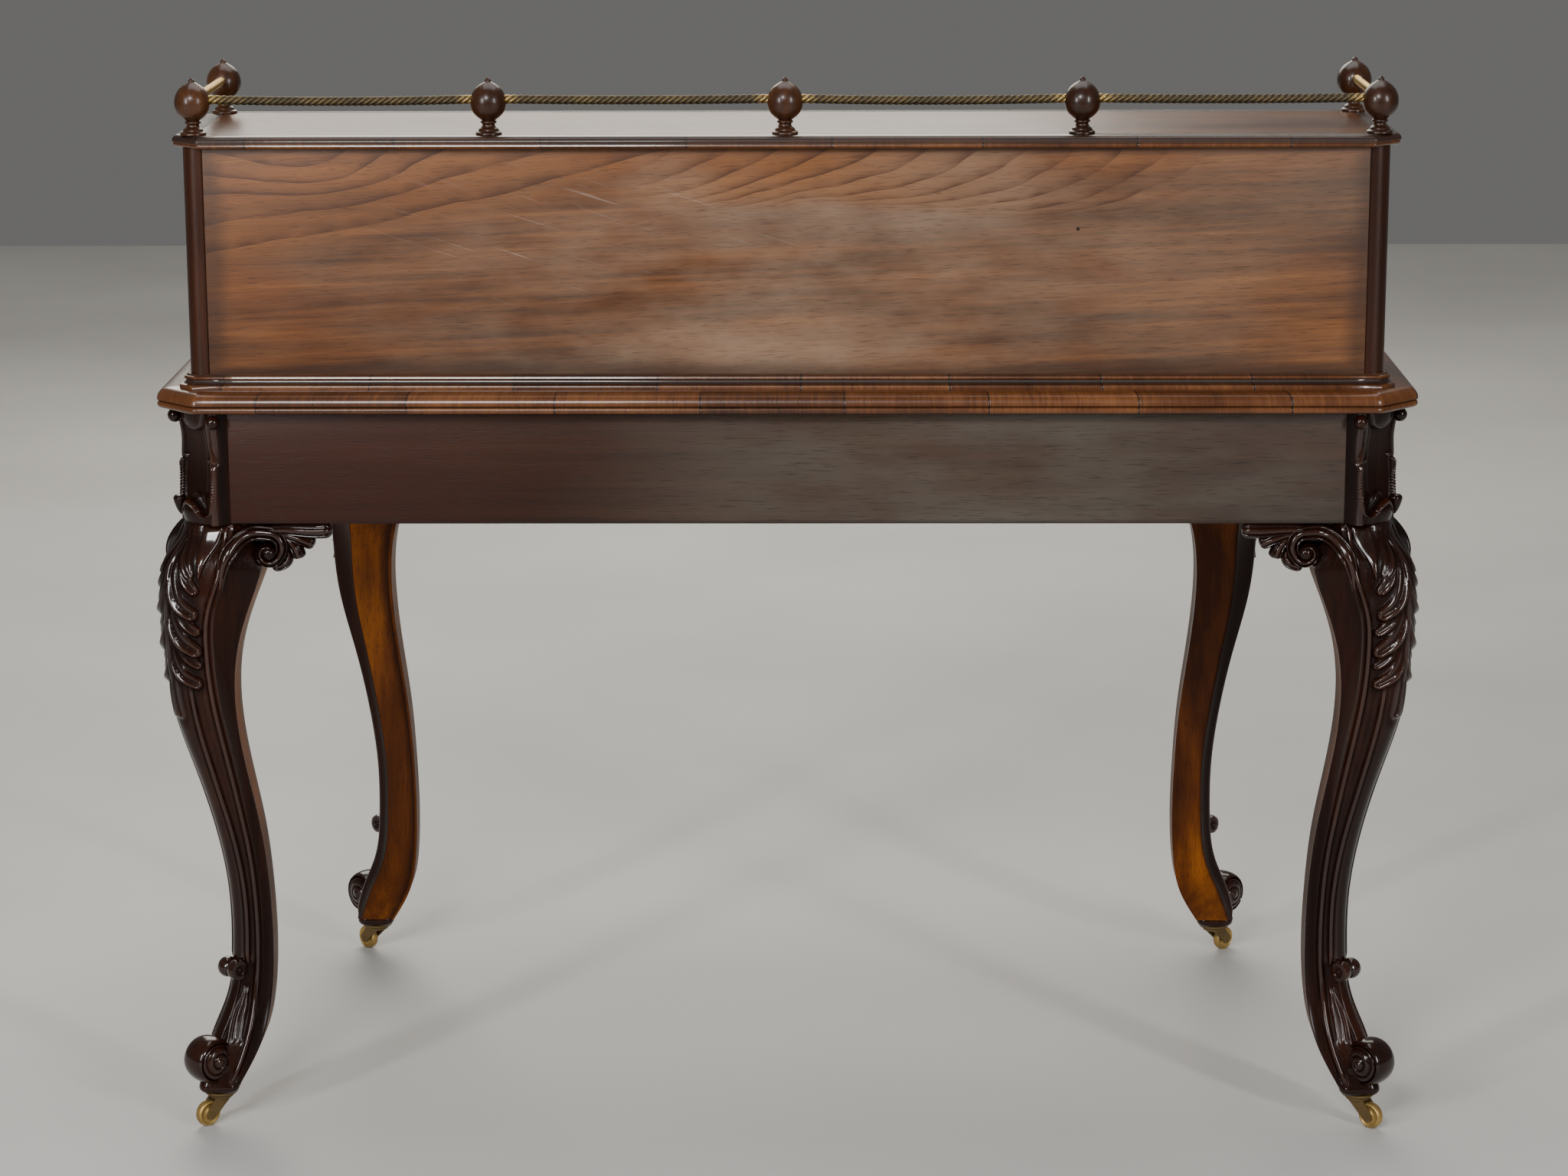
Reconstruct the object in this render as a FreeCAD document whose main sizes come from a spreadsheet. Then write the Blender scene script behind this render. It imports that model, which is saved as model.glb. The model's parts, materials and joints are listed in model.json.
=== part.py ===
"""Demilune writing desk: a D-plan table on carved cabriole legs with casters,
and a low upper case with a gallery along its straight back edge.

Frame: +Z up from the floor, +X along the width, the bowed front faces -Y.
The origin lies on the floor under the middle of the table top.
"""
import FreeCAD, Part
import math
import operator
import os
import types

import Sketcher
from FreeCAD import Placement, Rotation, Vector

DOC = FreeCAD.newDocument("demilune_desk")
SHEET = DOC.addObject("Spreadsheet::Sheet", "sizes")

# Driving sizes in millimetres, angles in degrees
SIZES = {
    # table top and its D plan
    "table_width": 1219,
    "table_depth": 750,
    "table_height": 750,
    "edge_height": 20,
    "edge_band": 26,
    "edge_bead": 7,
    "edge_step": 2.5,
    "corner_cant": 40,
    "corner_round": 14,
    "shoulder_radius": 390,
    "bow_angle": 16,
    "leather_margin": 70,
    "leather_thickness": 1.6,
    "leather_play": 0.1,
    # frieze and its drawer
    "frieze_height": 111,
    "frieze_setback": 22,
    "rail_thickness": 22,
    "frieze_drawer_width": 560,
    "frieze_drawer_height": 78,
    "frieze_drawer_depth": 350,
    "frieze_box_inset": 4,
    "frieze_box_lift": 3,
    "frieze_box_drop": 9,
    "frieze_knob_place": 150,
    "frieze_knob_scale": 1.25,
    "runner_width": 34,
    "runner_height": 16,
    "runner_rise": 3.5,
    # legs, corner blocks and brackets
    "foot_setback": 38.5,
    "post_width": 50,
    "post_setback": 43.4,
    "outer_round": 0.34,
    "toe_radius": 24,
    "toe_rim": 19,
    "toe_rim_back": 5,
    "toe_width": 40,
    "toe_level": 69,
    "toe_reach": 13,
    "toe_ring": 14,
    "toe_eye": 5.5,
    "curl_radius": 10.5,
    "curl_rim": 7.5,
    "curl_waist": 7.8,
    "curl_width": 26,
    "curl_level": 157,
    "curl_reach": -19.5,
    "plinth_width": 42,
    "block_width": 54,
    "block_reach": 15,
    "block_roll": 8,
    "block_hollow": 5,
    "block_lobe_width": 38,
    "block_lobe_height": 22,
    "block_lobe_reach": 8,
    "block_ball": 11,
    "bracket_thickness": 26,
    "bracket_proud": 5,
    "bracket_length": 66,
    "bracket_height": 50,
    "bracket_root": 30,
    "volute_radius": 14,
    "volute_place": 6,
    "volute_drop": 31,
    "volute_proud": 4,
    "volute_ring": 10,
    "volute_eye": 6,
    "groove": 2.5,
    "bracket_lobe": 6.5,
    # casters
    "caster_height": 34,
    "socket_radius": 17,
    "socket_height": 3,
    "socket_chamfer": 1.5,
    "pivot_radius": 4,
    "pin_play": 0.05,
    "swivel_gap": 0.35,
    "horn_radius": 12,
    "horn_height": 3.2,
    "cheek_thickness": 2.4,
    "cheek_gap": 0.6,
    "cheek_root": 8,
    "cheek_radius": 5.4,
    "wheel_diameter": 26,
    "wheel_width": 9,
    "wheel_dish": 1.5,
    "wheel_trail": 17,
    "hub_radius": 5,
    "axle_diameter": 4,
    "axle_proud": 0.8,
    "axle_seat": 0.02,
    # upper case
    "case_width": 1151,
    "case_depth": 219,
    "case_setback": 33,
    "case_height": 231.5,
    "case_board": 12,
    "panel_inset": 1,
    "stile_width": 20,
    "stile_round": 14,
    "base_height": 14,
    "base_reach": 10,
    "top_thickness": 12,
    "top_reach": 11,
    "top_cant": 27,
    "shelf_height": 72,
    "divider": 8,
    "divider_setback": 14,
    # small drawers
    "drawer_gap": 1,
    "front_thickness": 12,
    "front_inset": 1,
    "box_wall": 7,
    "box_inset": 1,
    "box_drop": 5,
    "small_depth": 180,
    # gallery
    "finial_inset": 22,
    "finial_ball": 32,
    "finial_rise": 33.5,
    "finial_neck": 7,
    "finial_tip": 4,
    "rope_diameter": 9,
}
SMALL_DRAWERS = ("left", "centre", "right")
SIDES = (("left", -1), ("right", 1))
PIGEONHOLES = 6
MITRE = 45
ROOT_TWO = math.sqrt(2)
Z_AXIS = Vector(0, 0, 1)

# The cabriole curve: height, inner and outer face measured from the foot's middle, then how much
# of each outer and of each inner face the canted field beside the bead takes away
LEG_CURVE = [
    (619, -59, 15, 30, 24),
    (600, -61, 27, 34, 24),
    (574, -60, 36, 37, 23),
    (540, -49, 38, 37, 22),
    (495, -35, 35.5, 27, 21),
    (430, -30.5, 29, 16.5, 17),
    (363, -38, 11.5, 11, 12),
    (297, -48, -4, 9.5, 9.5),
    (235, -53, -12.5, 9.5, 9),
    (175, -54.5, -13, 10, 8.5),
    (120, -51, -5, 11, 8.5),
    (88, -44, 8, 10, 8),
    (44, -21.5, 20, 4, 4),
]
KNEE_INNER = -60

# Leaf tips of a bracket: how far along the rail and how far below it each one ends
BRACKET_TIPS = [(66, 7), (46, 21), (30, 33)]
BRACKET_LEAF_ROOT = (6, 13)

# Turned profiles as radius and rise
KNOB_RINGS = [(0, 0), (7, 0), (7, 1.5), (4.2, 3), (4.2, 7), (8.5, 11), (9.5, 14), (6.5, 17.5), (0, 18.5)]
FINIAL_FOOT = [(0, 0), (12.5, 0), (12.5, 2.5), (9.5, 4), (9, 6), (6.5, 8), (6.5, 11.5), (7.6, 13),
               (6.5, 14.5)]
FINIAL_POINT = [(4.2, 1.2), (2.2, 2.4), (0, 5.5)]


class Size:
    """A length that carries both its value and its spreadsheet expression."""

    def __init__(self, value, text):
        self.value = value
        self.text = text

    def __add__(self, other):
        return joined(self, "+", other)

    def __radd__(self, other):
        return joined(other, "+", self)

    def __sub__(self, other):
        return joined(self, "-", other)

    def __rsub__(self, other):
        return joined(other, "-", self)

    def __mul__(self, other):
        return joined(self, "*", other)

    def __rmul__(self, other):
        return joined(other, "*", self)

    def __truediv__(self, other):
        return joined(self, "/", other)

    def __neg__(self):
        return joined(0, "-", self)

    def sin(self):
        return Size(math.sin(math.radians(self.value)), f"sin({self.text} * 1deg)")

    def cos(self):
        return Size(math.cos(math.radians(self.value)), f"cos({self.text} * 1deg)")


SIGNS = {"+": operator.add, "-": operator.sub, "*": operator.mul, "/": operator.truediv}


def as_size(number):
    """A plain number as a Size."""
    if isinstance(number, Size):
        return number
    return Size(number, f"({number:.6f})")


def joined(left, sign, right):
    """Two sizes joined by an arithmetic sign, in value and in expression."""
    left, right = as_size(left), as_size(right)
    return Size(SIGNS[sign](left.value, right.value), f"({left.text} {sign} {right.text})")


def fill_sheet():
    """Write every driving size into its own named cell."""
    named = {}
    for row, (name, value) in enumerate(SIZES.items(), start=1):
        SHEET.set(f"A{row}", name)
        SHEET.set(f"B{row}", str(value))
        SHEET.setAlias(f"B{row}", name)
        named[name] = Size(value, f"sizes.{name}")
    DOC.recompute()
    return types.SimpleNamespace(**named)


S = fill_sheet()

# Levels and planes worked out from the driving sizes
HALF_WIDTH = S.table_width / 2
BACK = S.table_depth / 2
TABLE_UNDER = S.table_height - S.edge_height
FRIEZE_UNDER = TABLE_UNDER - S.frieze_height
FRIEZE_DRAWER_LOW = FRIEZE_UNDER + (S.frieze_height - S.frieze_drawer_height) / 2
RAIL_X = HALF_WIDTH - S.frieze_setback
RAIL_Y = BACK - S.frieze_setback
CASE_X = S.case_width / 2
CASE_BACK = BACK - S.case_setback
CASE_FRONT = CASE_BACK - S.case_depth
CASE_TOP = S.table_height + S.case_height
PANEL_FRONT = CASE_BACK - S.panel_inset - S.case_board
GALLERY_FLOOR = CASE_TOP + S.top_thickness
GALLERY_AXIS = GALLERY_FLOOR + S.finial_rise

# Plan of the bowed front: shoulder arcs run tangent into one wide bow
SHOULDER_X = HALF_WIDTH - S.shoulder_radius
BOW_RADIUS = S.shoulder_radius + SHOULDER_X / S.bow_angle.sin()
BOW_Y = BOW_RADIUS - BACK
SHOULDER_Y = BOW_Y - (BOW_RADIUS - S.shoulder_radius) * S.bow_angle.cos()
SHOULDER = (SHOULDER_X, SHOULDER_Y)
BOW = (0, BOW_Y)

# Bands of the frieze on the shoulders, and the angle that a corner block takes out of them
BAND_OUTER = S.shoulder_radius - S.frieze_setback
BAND_INNER = BAND_OUTER - S.rail_thickness
BLOCK_ANGLE = math.degrees(math.asin((S.block_width / 2 / BAND_INNER).value))

# Feet: one setback from the back corner, and as far inside the shoulder's 45 degree point
BACK_FOOT = (HALF_WIDTH - S.foot_setback, BACK - S.foot_setback)
FOOT_DEPTH = (S.foot_setback * 2 - S.corner_cant) / 2
SHOULDER_CAST = S.shoulder_radius / ROOT_TWO - FOOT_DEPTH
FRONT_FOOT = (SHOULDER_X + SHOULDER_CAST, SHOULDER_Y - SHOULDER_CAST)

# Each corner's foot and the way that its own X axis points, out along the diagonal
CORNERS = {
    "back_right": (BACK_FOOT[0], BACK_FOOT[1], 45),
    "back_left": (-BACK_FOOT[0], BACK_FOOT[1], 135),
    "front_left": (-FRONT_FOOT[0], FRONT_FOOT[1], 225),
    "front_right": (FRONT_FOOT[0], FRONT_FOOT[1], 315),
}
NODES = []


def bind(thing, field, size):
    """Bind one field of an object to a size."""
    thing.setExpression(field, as_size(size).text)


def node(thing, label):
    """Keep an object as one piece of the desk under its own label."""
    thing.Label = label
    NODES.append(thing)
    return thing


def point_at(x, y, z):
    """A vector from three numbers or sizes."""
    return Vector(as_size(x).value, as_size(y).value, as_size(z).value)


def box(label, low, lengths):
    """A board from its low corner and its three lengths."""
    board = DOC.addObject("Part::Box", label)
    for field, length in zip(("Length", "Width", "Height"), lengths):
        bind(board, field, length)
    for axis, place in zip("xyz", low):
        bind(board, f"Placement.Base.{axis}", place)
    return board


def group(label, things):
    """Alike pieces kept as one group of separate solids."""
    holder = DOC.addObject("Part::Compound", label)
    holder.Links = things
    return node(holder, label)


def solid(label, shape, placement=None):
    """A piece whose shape is worked out here from the sheet's sizes."""
    feature = DOC.addObject("Part::Feature", label)
    feature.Shape = shape
    if placement is not None:
        feature.Placement = placement
    return node(feature, label)


def new_body(name):
    return DOC.addObject("PartDesign::Body", name)


def new_sketch(body, role, height=0):
    """A sketch on one of the body's own planes, lifted by a height."""
    sketch = body.newObject("Sketcher::SketchObject", f"{body.Name}_sketch")
    plane = next(item for item in body.Origin.OriginFeatures if item.Role == role)
    sketch.AttachmentSupport = (plane, "")
    sketch.MapMode = "FlatFace"
    bind(sketch, "AttachmentOffset.Base.z", height)
    return sketch


def bind_point(sketch, index, end, point):
    """Hold one end of a sketch edge at a point given by two sizes."""
    for kind, size in zip(("DistanceX", "DistanceY"), point):
        size = as_size(size)
        held = sketch.addConstraint(Sketcher.Constraint(kind, -1, 1, index, end, size.value))
        sketch.setExpression(f"Constraints[{held}]", size.text)


def add_edge(sketch, start, stop, centre):
    """A straight edge, or an arc of under half a turn where a centre is given.
    Gives the edge's number with its own start and end."""
    if centre is None:
        return sketch.addGeometry(Part.LineSegment(start, stop)), 1, 2
    first = math.atan2(start.y - centre.y, start.x - centre.x)
    last = math.atan2(stop.y - centre.y, stop.x - centre.x)
    turns_left = (last - first) % math.tau < math.pi
    radius = (start - centre).Length
    span = (first, last) if turns_left else (last, first)
    index = sketch.addGeometry(Part.ArcOfCircle(Part.Circle(centre, Z_AXIS, radius), *span))
    sketch.addConstraint(Sketcher.Constraint("Radius", index, radius))
    return (index, 1, 2) if turns_left else (index, 2, 1)


def draw(sketch, points):
    """A closed outline. Each point is (x, y), or (x, y, centre) where the edge
    that leaves it is an arc about that centre."""
    plain = [point_at(point[0], point[1], 0) for point in points]
    ends = []
    for i, point in enumerate(points):
        centre = point_at(*point[2], 0) if len(point) == 3 else None
        ends.append(add_edge(sketch, plain[i], plain[(i + 1) % len(plain)], centre))
    for i, (index, _, finish) in enumerate(ends):
        following, begin, _ = ends[(i + 1) % len(ends)]
        sketch.addConstraint(Sketcher.Constraint("Coincident", index, finish, following, begin))
    for point, (index, begin, _) in zip(points, ends):
        bind_point(sketch, index, begin, point[:2])
    return sketch


def rectangle(low, high):
    """The four corners of a rectangle."""
    return [(low[0], low[1]), (high[0], low[1]), (high[0], high[1]), (low[0], high[1])]


def mirrored(points, sign):
    """An outline turned over to the other side of the desk where sign is -1."""
    turned = []
    for point in points:
        spot = [point[0] * sign, point[1]]
        if len(point) == 3:
            spot.append((point[2][0] * sign, point[2][1]))
        turned.append(tuple(spot))
    return turned


def pad(body, sketch, length):
    feature = body.newObject("PartDesign::Pad", f"{body.Name}_pad")
    feature.Profile = sketch
    bind(feature, "Length", length)
    return feature


def pocket(body, sketch, depth, along_normal=False):
    """Cut a sketch's outline out of a body, and stop if nothing came away."""
    DOC.recompute()
    before = body.Shape.Volume
    feature = body.newObject("PartDesign::Pocket", f"{body.Name}_pocket")
    feature.Profile = sketch
    bind(feature, "Length", depth)
    feature.Reversed = along_normal
    DOC.recompute()
    assert body.Shape.Volume < before - 1, body.Name
    return feature


def revolve(body, rings):
    """A turned piece from its rings of radius and height, about its own Z axis."""
    sketch = draw(new_sketch(body, "XZ_Plane"), rings)
    feature = body.newObject("PartDesign::Revolution", f"{body.Name}_turning")
    feature.Profile = sketch
    feature.ReferenceAxis = (sketch, ["V_Axis"])
    feature.Angle = 360
    return feature


def round_over(body, feature, radius, chosen):
    """Round the edges of a feature that pass a test."""
    DOC.recompute()
    names = [f"Edge{i}" for i, edge in enumerate(feature.Shape.Edges, start=1) if chosen(edge)]
    rounding = body.newObject("PartDesign::Fillet", f"{body.Name}_round")
    rounding.Base = (feature, names)
    bind(rounding, "Radius", radius)
    DOC.recompute()
    return rounding


def is_upright(edge):
    spread = edge.BoundBox
    return spread.ZLength > 1 and spread.XLength + spread.YLength < 0.01


def lies_at(edge, level):
    spread = edge.BoundBox
    return abs(spread.ZMin - level.value) < 0.01 and abs(spread.ZMax - level.value) < 0.01


def table_plan(inset):
    """The D outline of the table, moved inwards by an inset."""
    half, back = HALF_WIDTH - inset, BACK - inset
    cant = S.corner_cant - inset * (2 - ROOT_TWO)
    radius = S.shoulder_radius - inset
    joint_x = SHOULDER_X + radius * S.bow_angle.sin()
    joint_y = SHOULDER_Y - radius * S.bow_angle.cos()
    return [
        (half, back - cant),
        (half - cant, back),
        (cant - half, back),
        (-half, back - cant),
        (-half, SHOULDER_Y, (-SHOULDER_X, SHOULDER_Y)),
        (-joint_x, joint_y, BOW),
        (joint_x, joint_y, SHOULDER),
        (half, SHOULDER_Y),
    ]


def leather_plan(inset):
    """The writing surface: the bowed front inside a margin, cut straight before the upper case."""
    margin = S.leather_margin + inset
    radius = S.shoulder_radius - margin
    joint_x = SHOULDER_X + radius * S.bow_angle.sin()
    joint_y = SHOULDER_Y - radius * S.bow_angle.cos()
    side = HALF_WIDTH - margin
    back = CASE_FRONT - S.leather_margin / 2 - inset
    return [
        (side, back),
        (-side, back),
        (-side, SHOULDER_Y, (-SHOULDER_X, SHOULDER_Y)),
        (-joint_x, joint_y, BOW),
        (joint_x, joint_y, SHOULDER),
        (side, SHOULDER_Y),
    ]


def make_table_top():
    """The board inside the edge moulding, with a shallow recess for the leather."""
    body = new_body("table_top")
    pad(body, draw(new_sketch(body, "XY_Plane", TABLE_UNDER), table_plan(S.edge_band)), S.edge_height)
    recess = draw(new_sketch(body, "XY_Plane", S.table_height), leather_plan(0))
    pocket(body, recess, S.leather_thickness)
    node(body, "table_top")


def make_leather():
    body = new_body("writing_leather")
    plane = new_sketch(body, "XY_Plane", S.table_height - S.leather_thickness)
    pad(body, draw(plane, leather_plan(S.leather_play)), S.leather_thickness)
    node(body, "writing_leather")


def make_edge_moulding():
    """Thumb moulding over a bead, round the whole table."""
    body = new_body("top_edge_moulding")
    upper = draw(new_sketch(body, "XY_Plane", TABLE_UNDER + S.edge_bead), table_plan(0))
    pad(body, upper, S.edge_height - S.edge_bead)
    lower = draw(new_sketch(body, "XY_Plane", TABLE_UNDER), table_plan(S.edge_step))
    both = pad(body, lower, S.edge_bead)
    soft = round_over(body, both, S.corner_round, is_upright)
    thumb = round_over(body, soft, S.edge_bead * 0.8, lambda edge: lies_at(edge, S.table_height))
    round_over(body, thumb, S.edge_bead * 0.55, lambda edge: lies_at(edge, TABLE_UNDER))
    core = draw(new_sketch(body, "XY_Plane", TABLE_UNDER), table_plan(S.edge_band))
    pocket(body, core, S.edge_height, along_normal=True)
    node(body, "top_edge_moulding")


def make_back_rail():
    reach = RAIL_X - S.corner_cant
    low = (-reach, RAIL_Y - S.rail_thickness, FRIEZE_UNDER)
    node(box("back_rail", low, (reach * 2, S.rail_thickness, S.frieze_height)), "back_rail")


def band_point(radius, angle):
    """A point of a shoulder band at an angle below the X axis."""
    turn = math.radians(angle)
    return SHOULDER_X + radius * math.cos(turn), SHOULDER_Y - radius * math.sin(turn)


def bow_line(radius, x):
    """Depth of a bow of a given radius at a distance from the middle."""
    return BOW_Y.value - math.sqrt(radius.value ** 2 - as_size(x).value ** 2)


def make_side_rail(side, sign):
    """Straight from the back corner block, then round the shoulder to the front one."""
    back_end = RAIL_Y - S.corner_cant
    inner_x = RAIL_X - S.rail_thickness
    stop = MITRE - BLOCK_ANGLE
    outline = [
        (RAIL_X, back_end),
        (inner_x, back_end),
        (inner_x, SHOULDER_Y, SHOULDER),
        band_point(BAND_INNER, stop),
        (*band_point(BAND_OUTER, stop), SHOULDER),
        (RAIL_X, SHOULDER_Y),
    ]
    body = new_body(f"{side}_side_rail")
    plane = new_sketch(body, "XY_Plane", FRIEZE_UNDER)
    pad(body, draw(plane, mirrored(outline, sign)), S.frieze_height)
    node(body, f"{side}_side_rail")


def make_front_rail():
    """The bowed front of the frieze between the front corner blocks, open for the drawer."""
    start, joint = MITRE + BLOCK_ANGLE, 90 - S.bow_angle.value
    outer_joint, outer_end = band_point(BAND_OUTER, joint), band_point(BAND_OUTER, start)
    inner_joint, inner_end = band_point(BAND_INNER, joint), band_point(BAND_INNER, start)
    right = [(*outer_joint, SHOULDER), outer_end, (*inner_end, SHOULDER), (*inner_joint, BOW)]
    left = [(*inner_joint, SHOULDER), inner_end, (*outer_end, SHOULDER), (*outer_joint, BOW)]
    body = new_body("front_rail")
    plane = new_sketch(body, "XY_Plane", FRIEZE_UNDER)
    pad(body, draw(plane, right + mirrored(left, -1)), S.frieze_height)
    half = S.frieze_drawer_width / 2
    corners = rectangle((-half, FRIEZE_DRAWER_LOW), (half, FRIEZE_DRAWER_LOW + S.frieze_drawer_height))
    pocket(body, draw(new_sketch(body, "XZ_Plane"), corners), BACK, along_normal=True)
    node(body, "front_rail")


def make_frieze_drawer():
    """Bow-fronted drawer: curved front, open box and two turned knobs."""
    gap = S.drawer_gap
    half = S.frieze_drawer_width / 2 - gap
    low = FRIEZE_DRAWER_LOW + gap
    height = S.frieze_drawer_height - gap * 2
    outer = BOW_RADIUS - S.frieze_setback
    inner = outer - S.rail_thickness
    outer_y, inner_y = bow_line(outer, half), bow_line(inner, half)
    band = [(-half, outer_y, BOW), (half, outer_y), (half, inner_y, BOW), (-half, inner_y)]
    front = new_body("frieze_drawer_front")
    pad(front, draw(new_sketch(front, "XY_Plane", low), band), height)
    node(front, "frieze_drawer_front")
    make_frieze_box(inner, half - S.frieze_box_inset, low + S.frieze_box_lift, height)
    knobs = []
    for side, sign in SIDES:
        x = S.frieze_knob_place * sign
        lean = math.degrees(math.asin((x / outer).value))
        spot = (x, bow_line(outer, x), low + height / 2)
        knobs.append(make_knob(f"frieze_knob_{side}", spot, S.frieze_knob_scale, lean))
    group("frieze_drawer_knobs", knobs)


def make_frieze_box(bow, half, low, height):
    """The open box behind the curved drawer front."""
    front = bow_line(bow, half)
    back = front + S.frieze_drawer_depth
    body = new_body("frieze_drawer_box")
    outline = [(-half, front, BOW), (half, front), (half, back), (-half, back)]
    tall = height - S.frieze_box_lift - S.frieze_box_drop
    pad(body, draw(new_sketch(body, "XY_Plane", low), outline), tall)
    inside = half - S.box_wall
    well = rectangle((-inside, -BACK), (inside, back - S.box_wall))
    pocket(body, draw(new_sketch(body, "XY_Plane", low + S.box_wall), well), height, along_normal=True)
    node(body, "frieze_drawer_box")


def make_knob(name, spot, scale=1, lean=0):
    """A turned knob standing out of a drawer front along -Y, leaned about Z."""
    body = new_body(name)
    revolve(body, [(scale * radius, scale * rise) for radius, rise in KNOB_RINGS])
    turn = Rotation(Z_AXIS, lean).multiply(Rotation(Vector(1, 0, 0), 90))
    body.Placement = Placement(point_at(*spot), turn)
    return body


def runner_plan(inner, outer):
    """A strip from the back of the bowed front rail to the back rail."""
    radius = BOW_RADIUS - S.frieze_setback - S.rail_thickness
    back = RAIL_Y - S.rail_thickness
    return [
        (inner, bow_line(radius, inner), BOW),
        (outer, bow_line(radius, outer)),
        (outer, back),
        (inner, back),
    ]


def make_runners():
    """Two bearers with guides that carry the frieze drawer between the rails."""
    half = S.frieze_drawer_width / 2
    inner, outer = half - S.runner_width / 2, half + S.runner_width / 2
    top = FRIEZE_DRAWER_LOW + S.runner_rise
    strips = []
    for side, sign in SIDES:
        bearer = new_body(f"bearer_{side}")
        plane = new_sketch(bearer, "XY_Plane", top - S.runner_height)
        pad(bearer, draw(plane, mirrored(runner_plan(inner, outer), sign)), S.runner_height)
        guide = new_body(f"guide_{side}")
        plane = new_sketch(guide, "XY_Plane", top)
        pad(guide, draw(plane, mirrored(runner_plan(half + S.drawer_gap, outer), sign)), S.runner_width)
        strips += [bearer, guide]
    group("drawer_runners", strips)


def corner_placement(corner):
    """A corner's own frame: origin on the floor under the foot, X out along the diagonal."""
    x, y, turn = CORNERS[corner]
    return Placement(point_at(x, y, 0), Rotation(Z_AXIS, turn))


def leg_section(level, inner, outer, off_outer, off_inner):
    """A square across the leg, seen from above, with two arrises on the leg's own X axis.
    The outer arris is broadly rounded, the inner one is crisp, and the two at the sides are canted."""
    half = (outer - inner) / 2
    spring = half - S.outer_round.value * (outer - inner)
    crown = spring + (half - spring) / ROOT_TWO
    corners = [
        Vector(half, spring),
        (Vector(crown, crown), Vector(spring, half)),
        Vector(off_outer - half, half),
        Vector(-half, half - off_inner),
        Vector(-half, -half),
        Vector(half - off_inner, -half),
        Vector(half, off_outer - half),
    ]
    wire = closed_line(corners)
    middle = (outer + inner) / 2 * ROOT_TWO
    wire.Placement = Placement(Vector(middle, 0, level), Rotation(Z_AXIS, -MITRE))
    return wire


def closed_line(corners):
    """A closed line through corners in order. Where a corner is a pair, an arc leads to
    the second point of the pair through the first."""
    ends = [corner[1] if isinstance(corner, tuple) else corner for corner in corners]
    edges = []
    for i, corner in enumerate(corners):
        if isinstance(corner, tuple):
            edges.append(Part.Arc(ends[i - 1], *corner).toShape())
        else:
            edges.append(Part.LineSegment(ends[i - 1], corner).toShape())
    return Part.Wire(edges)


def flat_face(corners):
    """A flat face within a closed line through corners."""
    return Part.Face(closed_line(corners))


def turned_across(corners):
    """A profile in the X-Y plane, X as radius, turned about the Y axis."""
    return flat_face(corners).revolve(Vector(0, 0, 0), Vector(0, 1, 0), 360)


def lobe(root, tip, thickness):
    """A leaf lobe, pointed at both ends: an arc over the line from root to tip, turned about it."""
    along = tip - root
    arc = (Vector(along.Length / 2, thickness, 0), Vector(along.Length, 0, 0))
    shape = flat_face([Vector(0, 0, 0), arc]).revolve(Vector(0, 0, 0), Vector(1, 0, 0), 360)
    shape.Placement = Placement(root, Rotation(Vector(1, 0, 0), along))
    return shape


def volute_side(face, rim, ring, eye):
    """Half of a volute's profile from the rim in to the middle: a groove, a ring, a groove and an eye."""
    floor = face - S.groove.value
    return [Vector(rim, floor, 0), Vector(ring, floor, 0), Vector(ring, face, 0),
            Vector((ring + eye) / 2, face, 0), Vector((ring + eye) / 2, floor, 0), Vector(eye, floor, 0),
            Vector(eye, face, 0), Vector(0, face, 0)]


def toe_shape():
    """The scroll toe across the leg's diagonal: a round belly between two volutes."""
    half, rim = S.toe_width.value / 2, S.toe_rim.value
    shoulder = half - S.toe_rim_back.value
    side = volute_side(half, S.toe_ring.value + S.groove.value, S.toe_ring.value, S.toe_eye.value)
    other = [Vector(point.x, -point.y, 0) for point in reversed(side)]
    belly = (Vector(S.toe_radius.value, 0, 0), Vector(rim, shoulder, 0))
    toe = turned_across(other + [Vector(rim, -shoulder, 0), belly] + side)
    toe.translate(point_at(S.toe_reach, 0, S.toe_level))
    return toe


def curl_shape():
    """The small scroll over the ankle: two rolls side by side with a waist between them."""
    half, rim, waist = S.curl_width.value / 2, S.curl_rim.value, S.curl_waist.value
    full = S.curl_radius.value
    curl = turned_across([
        Vector(0, -half, 0),
        Vector(rim, -half, 0),
        (Vector(full, -half / 2, 0), Vector(waist, 0, 0)),
        (Vector(full, half / 2, 0), Vector(rim, half, 0)),
        Vector(0, half, 0),
    ])
    curl.translate(point_at(S.curl_reach, 0, S.curl_level))
    return curl


def diagonal_block(width, low, high, reach):
    """A square block whose arrises lie on the leg's own X axis."""
    half, tall = width.value / 2, high - low
    block = Part.makeBox(width.value, width.value, tall, Vector(-half, -half, low))
    block.rotate(Vector(0, 0, 0), Z_AXIS, MITRE)
    block.translate(Vector(reach, 0, 0))
    return block


def leg_shape():
    """Cabriole leg with a scroll toe on a plinth, and a square post up into the frieze."""
    shaft = Part.makeLoft([leg_section(*row) for row in reversed(LEG_CURVE)], True, False)
    plinth = diagonal_block(S.plinth_width, S.caster_height.value, LEG_CURVE[-1][0], 0)
    post = diagonal_block(S.post_width, FRIEZE_UNDER.value, TABLE_UNDER.value, -S.post_setback.value)
    return shaft.multiFuse([plinth, post, toe_shape(), curl_shape()]).removeSplitter()


def make_legs():
    shape = leg_shape()
    for corner in CORNERS:
        solid(f"{corner}_leg", shape, corner_placement(corner))
    return shape


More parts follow.
